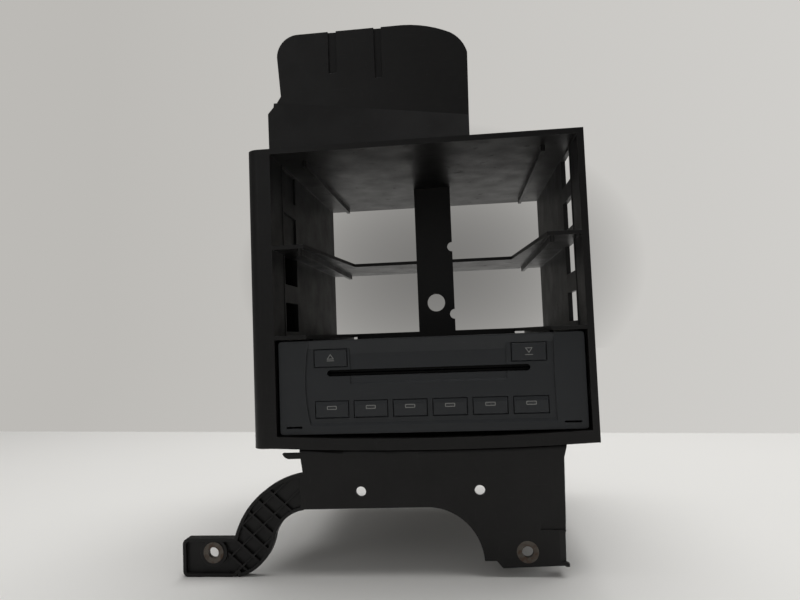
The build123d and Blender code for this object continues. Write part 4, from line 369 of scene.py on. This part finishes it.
def moulded(name, colour, worn, dust_and_top_light, roughness, wear, grain, edge):
    """Satin moulded plastic: spark-eroded grain, flow marks, rubbed edges, scratches, and dust with painted
    light from above on upward faces.
    """
    f = Finish(name)
    edges = f.rounded(edge)
    flow = f.noise(0.07, 4.0, f.stretched((1.0, 1.0, 0.35)), 0.6)
    base = f.blend(flow, f.tint(colour, 0.82), f.tint(colour, 1.25))
    mottle = f.spread(f.noise(0.0035, 3.0), 0.35, 0.75)
    base = f.blend(f.sums("MULTIPLY", mottle, 0.35), base, f.tint(colour, 1.7))
    scratch = f.spread(f.noise(0.010, 6.0, f.stretched((1.0, 1.0, 16.0)), 0.4), 0.655, 0.70)
    across = f.spread(f.noise(0.012, 6.0, f.stretched((14.0, 9.0, 1.0)), 0.5), 0.665, 0.71)
    marks = f.sums("MAXIMUM", scratch, across)
    base = f.blend(f.sums("MULTIPLY", marks, 0.16), base, worn)
    rubbed = f.sums("MULTIPLY", edges, f.spread(f.noise(0.006, 4.0), 0.42, 0.62))
    base = f.blend(f.sums("MULTIPLY", rubbed, wear), base, worn)
    # Dust and painted top light: upward faces are lightened in patches, partly settled dust, partly painted
    # light from above.
    dust_and_top_light_mask = f.sums("MULTIPLY", f.facing_up(), f.spread(f.noise(0.02, 6.0), 0.30, 0.80))
    base = f.blend(f.sums("MULTIPLY", dust_and_top_light_mask, 0.16), base, dust_and_top_light)
    rough = f.spread(f.noise(0.018, 4.0), 0.3, 0.7, roughness - 0.05, roughness + 0.07)
    rough = f.sums("ADD", rough, f.sums("MULTIPLY", marks, 0.12))
    f.relief(f.noise(0.05, 1.0), 0.0006, 0.35)
    f.relief(f.cells(grain), grain * 0.05, 0.55)
    f.relief(marks, 0.00002, 0.5)
    return f.done(base, rough, Specular_IOR_Level=0.26)


def painted(name, colour, worn, roughness, edge):
    """Matt charcoal paint: fine orange-peel, a slight cloudiness, rubbed corners and finger polish."""
    f = Finish(name)
    edges = f.rounded(edge)
    cloud = f.noise(0.03, 4.0)
    base = f.blend(cloud, f.tint(colour, 0.90), f.tint(colour, 1.12))
    speck = f.spread(f.cells(0.0011), 0.08, 0.02)
    base = f.blend(f.sums("MULTIPLY", speck, 0.22), base, f.tint(colour, 2.1))
    hair = f.spread(f.noise(0.012, 5.0, f.stretched((1.0, 1.0, 14.0)), 0.3), 0.68, 0.72)
    base = f.blend(f.sums("MULTIPLY", hair, 0.14), base, worn)
    rubbed = f.sums("MULTIPLY", edges, f.spread(f.noise(0.004, 4.0), 0.40, 0.66))
    base = f.blend(f.sums("MULTIPLY", rubbed, 0.32), base, worn)
    rough = f.spread(f.noise(0.014, 3.0), 0.3, 0.7, roughness - 0.05, roughness + 0.06)
    f.relief(f.noise(0.0009, 2.0), 0.00003, 0.45)
    f.relief(f.cells(0.00035), 0.000012, 0.5)
    return f.done(base, rough, Specular_IOR_Level=0.36)


def rolled(name, colour, roughness, stretch, edge=0.0002, spangle=0.0):
    """Rolled, drawn or plated metal with its lay, smudges and brighter edges."""
    f = Finish(name)
    edges = f.rounded(edge)
    lay = f.noise(0.004, 5.0, f.stretched(stretch))
    base = f.blend(lay, f.tint(colour, 0.86), f.tint(colour, 1.08))
    if spangle:
        flake = f.add("ShaderNodeTexVoronoi")
        f.join(flake.inputs["Vector"], f.place)
        flake.inputs["Scale"].default_value = 1 / spangle
        tone = f.add("ShaderNodeSeparateColor")
        f.join(tone.inputs["Color"], flake.outputs["Color"])
        base = f.blend(f.sums("MULTIPLY", tone.outputs["Red"], 0.25), base, f.tint(colour, 0.72))
    smudge = f.spread(f.noise(0.022, 5.0), 0.48, 0.72)
    base = f.blend(f.sums("MULTIPLY", smudge, 0.30), base, f.tint(colour, 0.62))
    base = f.blend(f.sums("MULTIPLY", edges, 0.5), base, f.tint(colour, 1.3))
    rough = f.spread(smudge, 0.0, 1.0, roughness, roughness + 0.16)
    f.relief(lay, 0.00003, 0.30)
    return f.done(base, rough, Metallic=1.0)


def rusty(name, colour, rust, roughness):
    """Dull plated steel with rust stains in spots."""
    f = Finish(name)
    edges = f.rounded(0.0003)
    tone = f.noise(0.003, 5.0)
    base = f.blend(tone, f.tint(colour, 0.75), f.tint(colour, 1.15))
    base = f.blend(f.sums("MULTIPLY", edges, 0.5), base, f.tint(colour, 1.6))
    stain = f.spread(f.noise(0.0042, 6.0, distortion=0.8), 0.47, 0.66)
    base = f.blend(f.sums("MULTIPLY", stain, 0.75), base, rust)
    rough = f.spread(stain, 0.0, 1.0, roughness, 0.85)
    metal = f.spread(stain, 0.0, 1.0, 0.95, 0.25)
    f.relief(f.noise(0.0006, 3.0), 0.00004, 0.6)
    return f.done(base, rough, Metallic=metal)


def natural(name, colour, roughness, milky=0.0):
    """Unpainted nylon, acetal, silicone or rubber: soft mottling, tool marks and grease-dulled spots."""
    f = Finish(name)
    edges = f.rounded(0.0002)
    mottle = f.noise(0.006, 4.0)
    base = f.blend(mottle, f.tint(colour, 0.90), f.tint(colour, 1.07))
    grime = f.spread(f.noise(0.012, 5.0, distortion=0.5), 0.55, 0.78)
    base = f.blend(f.sums("MULTIPLY", grime, 0.25), base, f.tint(colour, 0.66))
    base = f.blend(f.sums("MULTIPLY", edges, 0.25), base, f.tint(colour, 1.25))
    rough = f.spread(mottle, 0.3, 0.7, roughness - 0.05, roughness + 0.08)
    f.relief(f.noise(0.0007, 3.0), 0.00003, 0.4)
    return f.done(base, rough, Subsurface_Weight=milky, Subsurface_Scale=0.002)


def felted(name, colour):
    """Black felt: short matted fibres."""
    f = Finish(name)
    fibres = f.noise(0.0004, 6.0, f.stretched((1.0, 2.2, 1.0)), 1.5)
    base = f.blend(fibres, f.tint(colour, 0.6), f.tint(colour, 2.2))
    f.relief(fibres, 0.00025, 0.8)
    return f.done(base, 0.95, Specular_IOR_Level=0.15)


def masked_board(name, colour):
    """Printed board: solder mask over copper tracks, with tinned pads."""
    f = Finish(name)
    edges = f.rounded(0.0002)
    runs = f.add("ShaderNodeTexBrick", offset=0.5, squash=1.0)
    turned = f.add("ShaderNodeMapping")
    f.join(turned.inputs["Vector"], f.place)
    turned.inputs["Rotation"].default_value = (math.pi / 2, 0, 0)
    f.join(runs.inputs["Vector"], turned.outputs["Vector"])
    runs.inputs["Scale"].default_value = 260.0
    runs.inputs["Mortar Size"].default_value = 0.09
    runs.inputs["Color1"].default_value = (0, 0, 0, 1)
    runs.inputs["Color2"].default_value = (0, 0, 0, 1)
    runs.inputs["Mortar"].default_value = (1, 1, 1, 1)
    tracks = f.sums("MULTIPLY", runs.outputs["Fac"], f.spread(f.noise(0.012, 2.0), 0.45, 0.55))
    base = f.blend(f.noise(0.02, 3.0), f.tint(colour, 0.85), f.tint(colour, 1.1))
    base = f.blend(f.sums("MULTIPLY", tracks, 0.6), base, f.tint(colour, 1.9))
    pads = f.spread(f.cells(0.0045), 0.20, 0.16)
    base = f.blend(pads, base, TINNED)
    base = f.blend(f.sums("MULTIPLY", edges, 0.5), base, BOARD_EDGE)
    rough = f.spread(pads, 0.0, 1.0, 0.30, 0.42)
    f.relief(tracks, 0.00004, 0.6)
    return f.done(base, rough)


def clear_bar(name, colour):
    """Clear acrylic with moulded ripples and a frosted edge."""
    f = Finish(name)
    edges = f.rounded(0.0002)
    ripple = f.noise(0.004, 3.0)
    base = f.blend(f.sums("MULTIPLY", ripple, 0.2), colour, f.tint(colour, 0.85))
    rough = f.sums("ADD", f.spread(ripple, 0.3, 0.7, 0.04, 0.12), f.sums("MULTIPLY", edges, 0.3))
    f.relief(ripple, 0.00005, 0.4)
    return f.done(base, rough, Transmission_Weight=0.9, IOR=1.49)


def printed(name, colour):
    """Screen-printed or lit sign: slightly uneven ink."""
    f = Finish(name)
    uneven = f.noise(0.0008, 3.0)
    base = f.blend(uneven, f.tint(colour, 0.80), f.tint(colour, 1.15))
    f.relief(uneven, 0.00001, 0.3)
    return f.done(base, f.spread(uneven, 0.3, 0.7, 0.42, 0.55))


def smoked_lens(name, colour):
    """Dark smooth lens of a key's window."""
    f = Finish(name)
    haze = f.noise(0.002, 3.0)
    base = f.blend(haze, f.tint(colour, 0.8), f.tint(colour, 1.2))
    f.relief(haze, 0.00001, 0.3)
    return f.done(base, f.spread(haze, 0.3, 0.7, 0.16, 0.30))


def carrier_plastic():
    """Satin black of the carrier."""
    c = look().carrier
    return finish("Moulded black", moulded, c.colour, c.worn, c.dust_and_top_light, c.roughness, c.wear, c.grain, c.edge)


def face_paint():
    """Charcoal paint of the face."""
    c = look().face
    return finish("Charcoal paint", painted, c.panel, PANEL_WORN, c.roughness, 0.0005)


def key_paint():
    """Charcoal paint of the keys, a little more handled."""
    c = look().face
    return finish("Key paint", painted, c.keys, KEY_WORN, c.roughness - 0.03, 0.0006)


def zinc():
    """Zinc-coated sheet with a faint spangle."""
    return finish("Zinc sheet", rolled, look().metal.zinc, 0.34, (1, 6, 1), 0.0002, 0.006)


def bright_steel():
    """Ground round steel."""
    return finish("Bright steel", rolled, look().metal.bright, 0.16, (12, 1, 1), 0.0001)


def motor_plate():
    """Plated motor cans."""
    return finish("Motor plate", rolled, look().metal.bright, 0.26, (1, 1, 8), 0.0002)


def black_screw():
    """Black-coated screws, rubbed bright on the drive's edges."""
    return finish("Black screw", moulded, SCREW_BLACK, SCREW_WORN, SCREW_DUST_AND_TOP_LIGHT, 0.38, 0.8, 0.0004, 0.0002)


def nylon():
    """Natural nylon of gears and spindles."""
    return finish("Natural nylon", natural, look().inside.nylon, 0.42, milky=0.25)


def acetal():
    """Black acetal guides."""
    return finish("Black acetal", natural, look().inside.acetal, 0.40)


def tray_plastic():
    """Dark grey trays."""
    return finish("Tray plastic", natural, look().inside.tray, 0.45)


def rubber():
    """Black rubber."""
    return finish("Black rubber", natural, look().inside.rubber, 0.78)


# ------------------------------------------------------------------ meshes
def dress(names, material):
    """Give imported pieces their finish."""
    for name in names:
        for place in NODES[name].material_slots:
            place.material = material


def piece(name, mesh, body, material):
    """Add a mesh as a piece that rides on a body."""
    data = bpy.data.meshes.new(name)
    mesh.to_mesh(data)
    mesh.free()
    data.materials.append(material)
    thing = bpy.data.objects.new(name, data)
    bpy.context.scene.collection.objects.link(thing)
    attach(thing, body)


def wall_between(mesh, outer, inner, front, back):
    """Closed flat ring between two loops of (x, z) points, from one y to another."""
    rows = []
    for loop in (outer, inner):
        for y in (front, back):
            rows.append([mesh.verts.new((x, y, z)) for x, z in loop])
    outer_front, outer_back, inner_front, inner_back = rows
    count = len(outer)
    for i in range(count):
        j = (i + 1) % count
        mesh.faces.new((outer_front[i], outer_front[j], inner_front[j], inner_front[i]))
        mesh.faces.new((outer_back[j], outer_back[i], inner_back[i], inner_back[j]))
        mesh.faces.new((outer_front[j], outer_front[i], outer_back[i], outer_back[j]))
        mesh.faces.new((inner_front[i], inner_front[j], inner_back[j], inner_back[i]))


def slab(mesh, loop, front, back):
    """Closed flat plate inside a loop of (x, z) points, from one y to another."""
    near = [mesh.verts.new((x, front, z)) for x, z in loop]
    far = [mesh.verts.new((x, back, z)) for x, z in loop]
    mesh.faces.new(near)
    mesh.faces.new(list(reversed(far)))
    for i in range(len(loop)):
        j = (i + 1) % len(loop)
        mesh.faces.new((near[j], near[i], far[i], far[j]))


def rounded_loop(x, z, width, height, radius, steps=6):
    """Points of a rectangle with round corners, round its middle."""
    points = []
    corners = ((1, 1, 0), (-1, 1, 90), (-1, -1, 180), (1, -1, 270))
    for side, level, start in corners:
        cx = x + side * (width / 2 - radius)
        cz = z + level * (height / 2 - radius)
        for step in range(steps + 1):
            angle = math.radians(start + 90 * step / steps)
            points.append((cx + radius * math.cos(angle), cz + radius * math.sin(angle)))
    return points


def closed(mesh):
    """Faces of a mesh all turned outward."""
    bmesh.ops.recalc_face_normals(mesh, faces=mesh.faces)
    return mesh


# ------------------------------------------------------------------ pieces
def sign_triangle(mesh, x, z, width, height, line, front, back):
    """Open triangle; a negative height points it down."""
    outer = [(x - width / 2, z), (x + width / 2, z), (x, z + height)]
    slope = math.hypot(width / 2, height)
    inset_base = line * (slope + width / 2) / abs(height)
    inner_width = width - 2 * inset_base
    inner_height = height * inner_width / width
    base = z + math.copysign(line, height)
    inner = [(x - inner_width / 2, base), (x + inner_width / 2, base), (x, base + inner_height)]
    wall_between(mesh, outer, inner, front, back)


class CHANGER_OT_carrier(bpy.types.Operator):
    """Finish the moulded carrier"""

    bl_idname = "changer.carrier"
    bl_label = "Carrier"

    def execute(self, context):
        dress(["carrier"], carrier_plastic())
        return {"FINISHED"}


class CHANGER_OT_bushes(bpy.types.Operator):
    """Finish the two steel bushes in the bolt pads"""

    bl_idname = "changer.bushes"
    bl_label = "Bolt bushes"

    def execute(self, context):
        c = look().metal
        dress(["mounting_bushes"], finish("Dull steel", rusty, c.dull, c.rust, 0.50))
        return {"FINISHED"}


class CHANGER_OT_face(bpy.types.Operator):
    """Finish the front panel and the felt lips of its slot"""

    bl_idname = "changer.face"
    bl_label = "Face"

    def execute(self, context):
        dress(["fascia"], face_paint())
        dress(["slot_felt"], finish("Black felt", felted, FELT_BLACK))
        return {"FINISHED"}


class CHANGER_OT_keys(bpy.types.Operator):
    """Finish the eight keys and add their signs and light windows"""

    bl_idname = "changer.keys"
    bl_label = "Keys"

    def execute(self, context):
        face = look().face
        ink = finish("Sign grey", printed, face.signs)
        lens = finish("Window lens", smoked_lens, face.window)
        line = face.sign_line
        for name, point_up in (("eject_button", True), ("load_button", False)):
            dress([name], key_paint())
            low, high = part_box(name)
            x, middle = (low.x + high.x) / 2, (low.z + high.z) / 2
            near, far = low.y - SIGN_PROUD, low.y + SIGN_SUNK
            base = middle + (EJECT_SIGN_BASE if point_up else LOAD_SIGN_BASE)
            lift = SIGN_HEIGHT if point_up else -SIGN_HEIGHT
            bar_z = (base if point_up else base + lift) - SIGN_BAR_GAP - line / 2
            mesh = bmesh.new()
            sign_triangle(mesh, x, base, SIGN_WIDTH, lift, line, near, far)
            slab(mesh, rounded_loop(x, bar_z, SIGN_WIDTH, line, line * BAR_CORNER, 3), near, far)
            piece(name.replace("button", "sign"), closed(mesh), name, ink)
        for number in range(1, 7):
            name = f"disc_button_{number}"
            dress([name], key_paint())
            low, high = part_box(name)
            x, z = (low.x + high.x) / 2, high.z - face.window_drop
            width, height = face.window_width, face.window_height
            outer = rounded_loop(x, z, width, height, WINDOW_CORNER)
            inner = rounded_loop(x, z, width - 2 * line, height - 2 * line, WINDOW_INNER_CORNER)
            mesh = bmesh.new()
            wall_between(mesh, outer, inner, low.y - SIGN_PROUD, low.y + SIGN_SUNK)
            piece(f"disc_window_frame_{number}", closed(mesh), name, ink)
            mesh = bmesh.new()
            slab(mesh, inner, low.y - SIGN_PROUD / 2, low.y + SIGN_SUNK)
            piece(f"disc_window_{number}", closed(mesh), name, lens)
        return {"FINISHED"}


class CHANGER_OT_key_board(bpy.types.Operator):
    """Finish the key mat, front board, diodes, light bar and screws behind the face"""

    bl_idname = "changer.key_board"
    bl_label = "Key board"

    def execute(self, context):
        inside = look().inside
        dress(["keypad_mat"], finish("Silicone mat", natural, inside.mat, 0.62, milky=0.3))
        dress(["front_board"], finish("Solder mask", masked_board, inside.board))
        dress(["indicator_leds"], finish("Diode resin", natural, DIODE_RESIN, 0.25, milky=0.4))
        dress(["light_guide"], finish("Clear acrylic", clear_bar, CLEAR_ACRYLIC))
        dress(["board_screws"], black_screw())
        return {"FINISHED"}


class CHANGER_OT_case(bpy.types.Operator):
    """Finish the sheet case, its screws and the retaining springs"""

    bl_idname = "changer.case"
    bl_label = "Case"

    def execute(self, context):
        dress(["chassis_tray", "top_cover"], zinc())
        dress(["cover_screws"], black_screw())
        spring = finish("Spring steel", rolled, look().metal.spring, 0.30, (1, 10, 1))
        dress(["retaining_springs"], spring)
        return {"FINISHED"}


class CHANGER_OT_roller_drive(bpy.types.Operator):
    """Finish the disc roller, its gears and motor"""

    bl_idname = "changer.roller_drive"
    bl_label = "Roller drive"

    def execute(self, context):
        dress(["roller_shaft", "idler_pin"], bright_steel())
        dress(["roller_rubber"], rubber())
        dress(["roller_bushes", "roller_gear", "idler_gear", "load_pinion"], nylon())
        dress(["gear_plate"], zinc())
        dress(["load_motor"], motor_plate())
        dress(["disc_guide"], acetal())
        return {"FINISHED"}


class CHANGER_OT_magazine(bpy.types.Operator):
    """Finish the lift frame, the disc trays, spindles, belt and lift motor"""

    bl_idname = "changer.magazine"
    bl_label = "Magazine"

    def execute(self, context):
        dress(["lift_frame"], acetal())
        dress([f"disc_tray_{number}" for number in range(1, 7)], tray_plastic())
        dress([f"lift_spindle_{number}" for number in range(1, 5)] + ["lift_pinion"], nylon())
        dress(["timing_belt"], rubber())
        dress(["lift_motor"], motor_plate())
        dress(["lift_motor_bracket"], zinc())
        return {"FINISHED"}


class CHANGER_OT_deck(bpy.types.Operator):
    """Finish the play deck with its motors, turntable, sled and lens"""

    bl_idname = "changer.deck"
    bl_label = "Play deck"

    def execute(self, context):
        dress(["play_deck"], zinc())
        dress(["deck_dampers"], finish("Damper rubber", natural, DAMPER_RED, 0.72))
        dress(["spindle_motor", "sled_motor"], motor_plate())
        dress(["turntable", "pickup_sled"], acetal())
        dress(["lens"], finish("Lens holder", smoked_lens, LENS_BLUE))
        dress(["guide_rod", "lead_screw"], bright_steel())
        return {"FINISHED"}


class CHANGER_OT_main_board(bpy.types.Operator):
    """Finish the main board and the rear plug socket"""

    bl_idname = "changer.main_board"
    bl_label = "Main board"

    def execute(self, context):
        dress(["main_board"], finish("Solder mask", masked_board, look().inside.board))
        dress(["rear_connector"], finish("Connector plastic", natural, SOCKET_BLACK, 0.48))
        return {"FINISHED"}


# ------------------------------------------------------------------ stage
def area_lamp(name, place, target, size, power):
    """Large soft square lamp."""
    data = bpy.data.lights.new(name, "AREA")
    data.shape = "SQUARE"
    data.size = size
    data.energy = power
    lamp = bpy.data.objects.new(name, data)
    bpy.context.scene.collection.objects.link(lamp)
    lamp.location = place
    lamp.rotation_euler = (Vector(target) - Vector(place)).to_track_quat("-Z", "Y").to_euler()


def stage_sheet(name, corners, material):
    """One flat sheet of the stage."""
    data = bpy.data.meshes.new(name)
    data.from_pydata(corners, [], [(0, 1, 2, 3)])
    data.materials.append(material)
    sheet = bpy.data.objects.new(name, data)
    bpy.context.scene.collection.objects.link(sheet)


def backdrop(f, base, share):
    """Show the wall's pale grey to the camera where share is one, or all over when there is no share."""
    c = look().stage
    parts = f.add("ShaderNodeSeparateXYZ")
    f.join(parts.inputs["Vector"], f.place)
    # Painted light: the wall's glow runs from a darker grey on the left to a lighter grey on the right.
    sideways = f.sums("DIVIDE", parts.outputs["X"], f.sums("ADD", parts.outputs["Y"], WALL_FAN))
    tone = f.blend(f.spread(sideways, -WALL_FAN_SPREAD, WALL_FAN_SPREAD), c.wall_left, c.wall_right)
    glow = f.add("ShaderNodeEmission")
    f.join(glow.inputs["Color"], tone)
    if share is None:
        # Painted shade: the wall's glow dims in a soft patch straight behind the changer, standing in for
        # its shadow on the wall.
        away = []
        for axis, middle, size in zip("XZ", PAINTED_SHADE_PLACE, PAINTED_SHADE_SIZE):
            offset = f.sums("DIVIDE", f.sums("SUBTRACT", parts.outputs[axis], middle), size)
            away.append(f.sums("MULTIPLY", offset, offset))
        f.join(glow.inputs["Strength"], f.spread(f.sums("ADD", *away), 0.0, PAINTED_SHADE_REACH, c.painted_shade, 1.0))
    seen = f.add("ShaderNodeLightPath").outputs["Is Camera Ray"]
    mixed = f.add("ShaderNodeMixShader")
    f.join(mixed.inputs["Fac"], seen if share is None else f.sums("MULTIPLY", seen, share(parts)))
    f.done(base, 0.8, Specular_IOR_Level=0.2)
    f.tree.links.new(f.surface.outputs["BSDF"], mixed.inputs[1])
    f.tree.links.new(glow.outputs["Emission"], mixed.inputs[2])
    f.tree.links.new(mixed.outputs["Shader"], f.tree.nodes["Material Output"].inputs["Surface"])
    return f.material


def table_finish():
    """Pale table top that gives way to the wall's grey at its far edge."""
    c = look().stage
    f = Finish("Pale table")
    top = f.blend(f.noise(0.4, 2.0), f.tint(c.table, 0.98), f.tint(c.table, 1.02))

    def beyond(parts):
        """One past the table's far edge, which runs a little askew."""
        edge = f.sums("ADD", parts.outputs["Y"], f.sums("MULTIPLY", parts.outputs["X"], EDGE_SLANT))
        return f.spread(edge, c.table_depth, c.table_depth + EDGE_FADE)

    return backdrop(f, top, beyond)


def wall_finish():
    """Pale grey wall, painted lighter to the right and with a painted shade behind the changer."""
    f = Finish("Grey wall")
    base = f.blend(f.noise(0.5, 2.0), *WALL_BOUNCE)
    return backdrop(f, base, None)


class CHANGER_OT_stage(bpy.types.Operator):
    """Lay the floor and backdrop, hang the lamps and set the camera"""

    bl_idname = "changer.stage"
    bl_label = "Stage"

    def execute(self, context):
        c = look().stage
        scene = context.scene
        scene.view_settings.view_transform = "Standard"
        floor, reach, back = CARRIER_LOW.z, STAGE_REACH, STAGE_BACK
        stage_sheet(
            "stage_table",
            [(-reach, -reach, floor), (reach, -reach, floor), (reach, back, floor), (-reach, back, floor)],
            table_finish(),
        )
        stage_sheet(
            "stage_wall",
            [(-reach, back, floor), (reach, back, floor), (reach, back, reach), (-reach, back, reach)],
            wall_finish(),
        )
        area_lamp("ceiling_lamp", CEILING_PLACE, CEILING_AIM, CEILING_SIZE, c.ceiling)
        area_lamp("front_lamp", FRONT_PLACE, FRONT_AIM, FRONT_SIZE, c.front)
        world = bpy.data.worlds.new("Even air")
        scene.world = world
        world.use_nodes = True
        tree = world.node_tree
        air = tree.nodes["Background"]
        air.inputs["Color"].default_value = (*AIR_COLOUR, 1)
        air.inputs["Strength"].default_value = c.air
        seen = tree.nodes.new("ShaderNodeBackground")
        seen.inputs["Color"].default_value = (*c.wall_left, 1)
        path = tree.nodes.new("ShaderNodeLightPath")
        mixed = tree.nodes.new("ShaderNodeMixShader")
        tree.links.new(path.outputs["Is Camera Ray"], mixed.inputs["Fac"])
        tree.links.new(air.outputs["Background"], mixed.inputs[1])
        tree.links.new(seen.outputs["Background"], mixed.inputs[2])
        tree.links.new(mixed.outputs["Shader"], tree.nodes["World Output"].inputs["Surface"])
        lens = bpy.data.cameras.new("photo_camera")
        lens.sensor_width = SENSOR_WIDTH
        lens.lens = FOCAL_PIXELS / PHOTO_WIDTH * SENSOR_WIDTH
        lens.clip_start = CLIP_NEAR
        lens.clip_end = CLIP_FAR
        camera = bpy.data.objects.new("photo_camera", lens)
        scene.collection.objects.link(camera)
        columns = (CAMERA_RIGHT, -CAMERA_DOWN, -CAMERA_AHEAD)
        turn = Matrix([[column[row] for column in columns] for row in range(3)])
        camera.matrix_world = Matrix.Translation(CAMERA_PLACE) @ turn.to_4x4()
        scene.camera = camera
        return {"FINISHED"}


STEPS = (
    CHANGER_OT_carrier,
    CHANGER_OT_bushes,
    CHANGER_OT_face,
    CHANGER_OT_keys,
    CHANGER_OT_key_board,
    CHANGER_OT_case,
    CHANGER_OT_roller_drive,
    CHANGER_OT_magazine,
    CHANGER_OT_deck,
    CHANGER_OT_main_board,
    CHANGER_OT_stage,
)


class CHANGER_PT_panel(bpy.types.Panel):
    """Sizes, colours and steps of the changer"""

    bl_idname = "CHANGER_PT_panel"
    bl_label = "CD changer"
    bl_space_type = "VIEW_3D"
    bl_region_type = "UI"
    bl_category = "CD changer"

    def draw(self, context):
        for step in STEPS:
            self.layout.operator(step.bl_idname)
        for group in (look().carrier, look().face, look().metal, look().inside, look().stage):
            box = self.layout.box()
            for key in group.__annotations__:
                box.prop(group, key)


GROUPS = (CarrierLook, FaceLook, MetalLook, InsideLook, StageLook, ChangerSettings)


def register():
    """Make the settings, steps and panel known."""
    for kind in (*GROUPS, *STEPS, CHANGER_PT_panel):
        bpy.utils.register_class(kind)
    bpy.types.Scene.changer = PointerProperty(type=ChangerSettings)


def unregister():
    """Take the settings, steps and panel away."""
    del bpy.types.Scene.changer
    for kind in (CHANGER_PT_panel, *reversed(STEPS), *reversed(GROUPS)):
        bpy.utils.unregister_class(kind)


def main():
    """Build everything in order."""
    register()
    for step in STEPS:
        family, name = step.bl_idname.split(".")
        getattr(getattr(bpy.ops, family), name)()


if __name__ == "__main__":
    main()
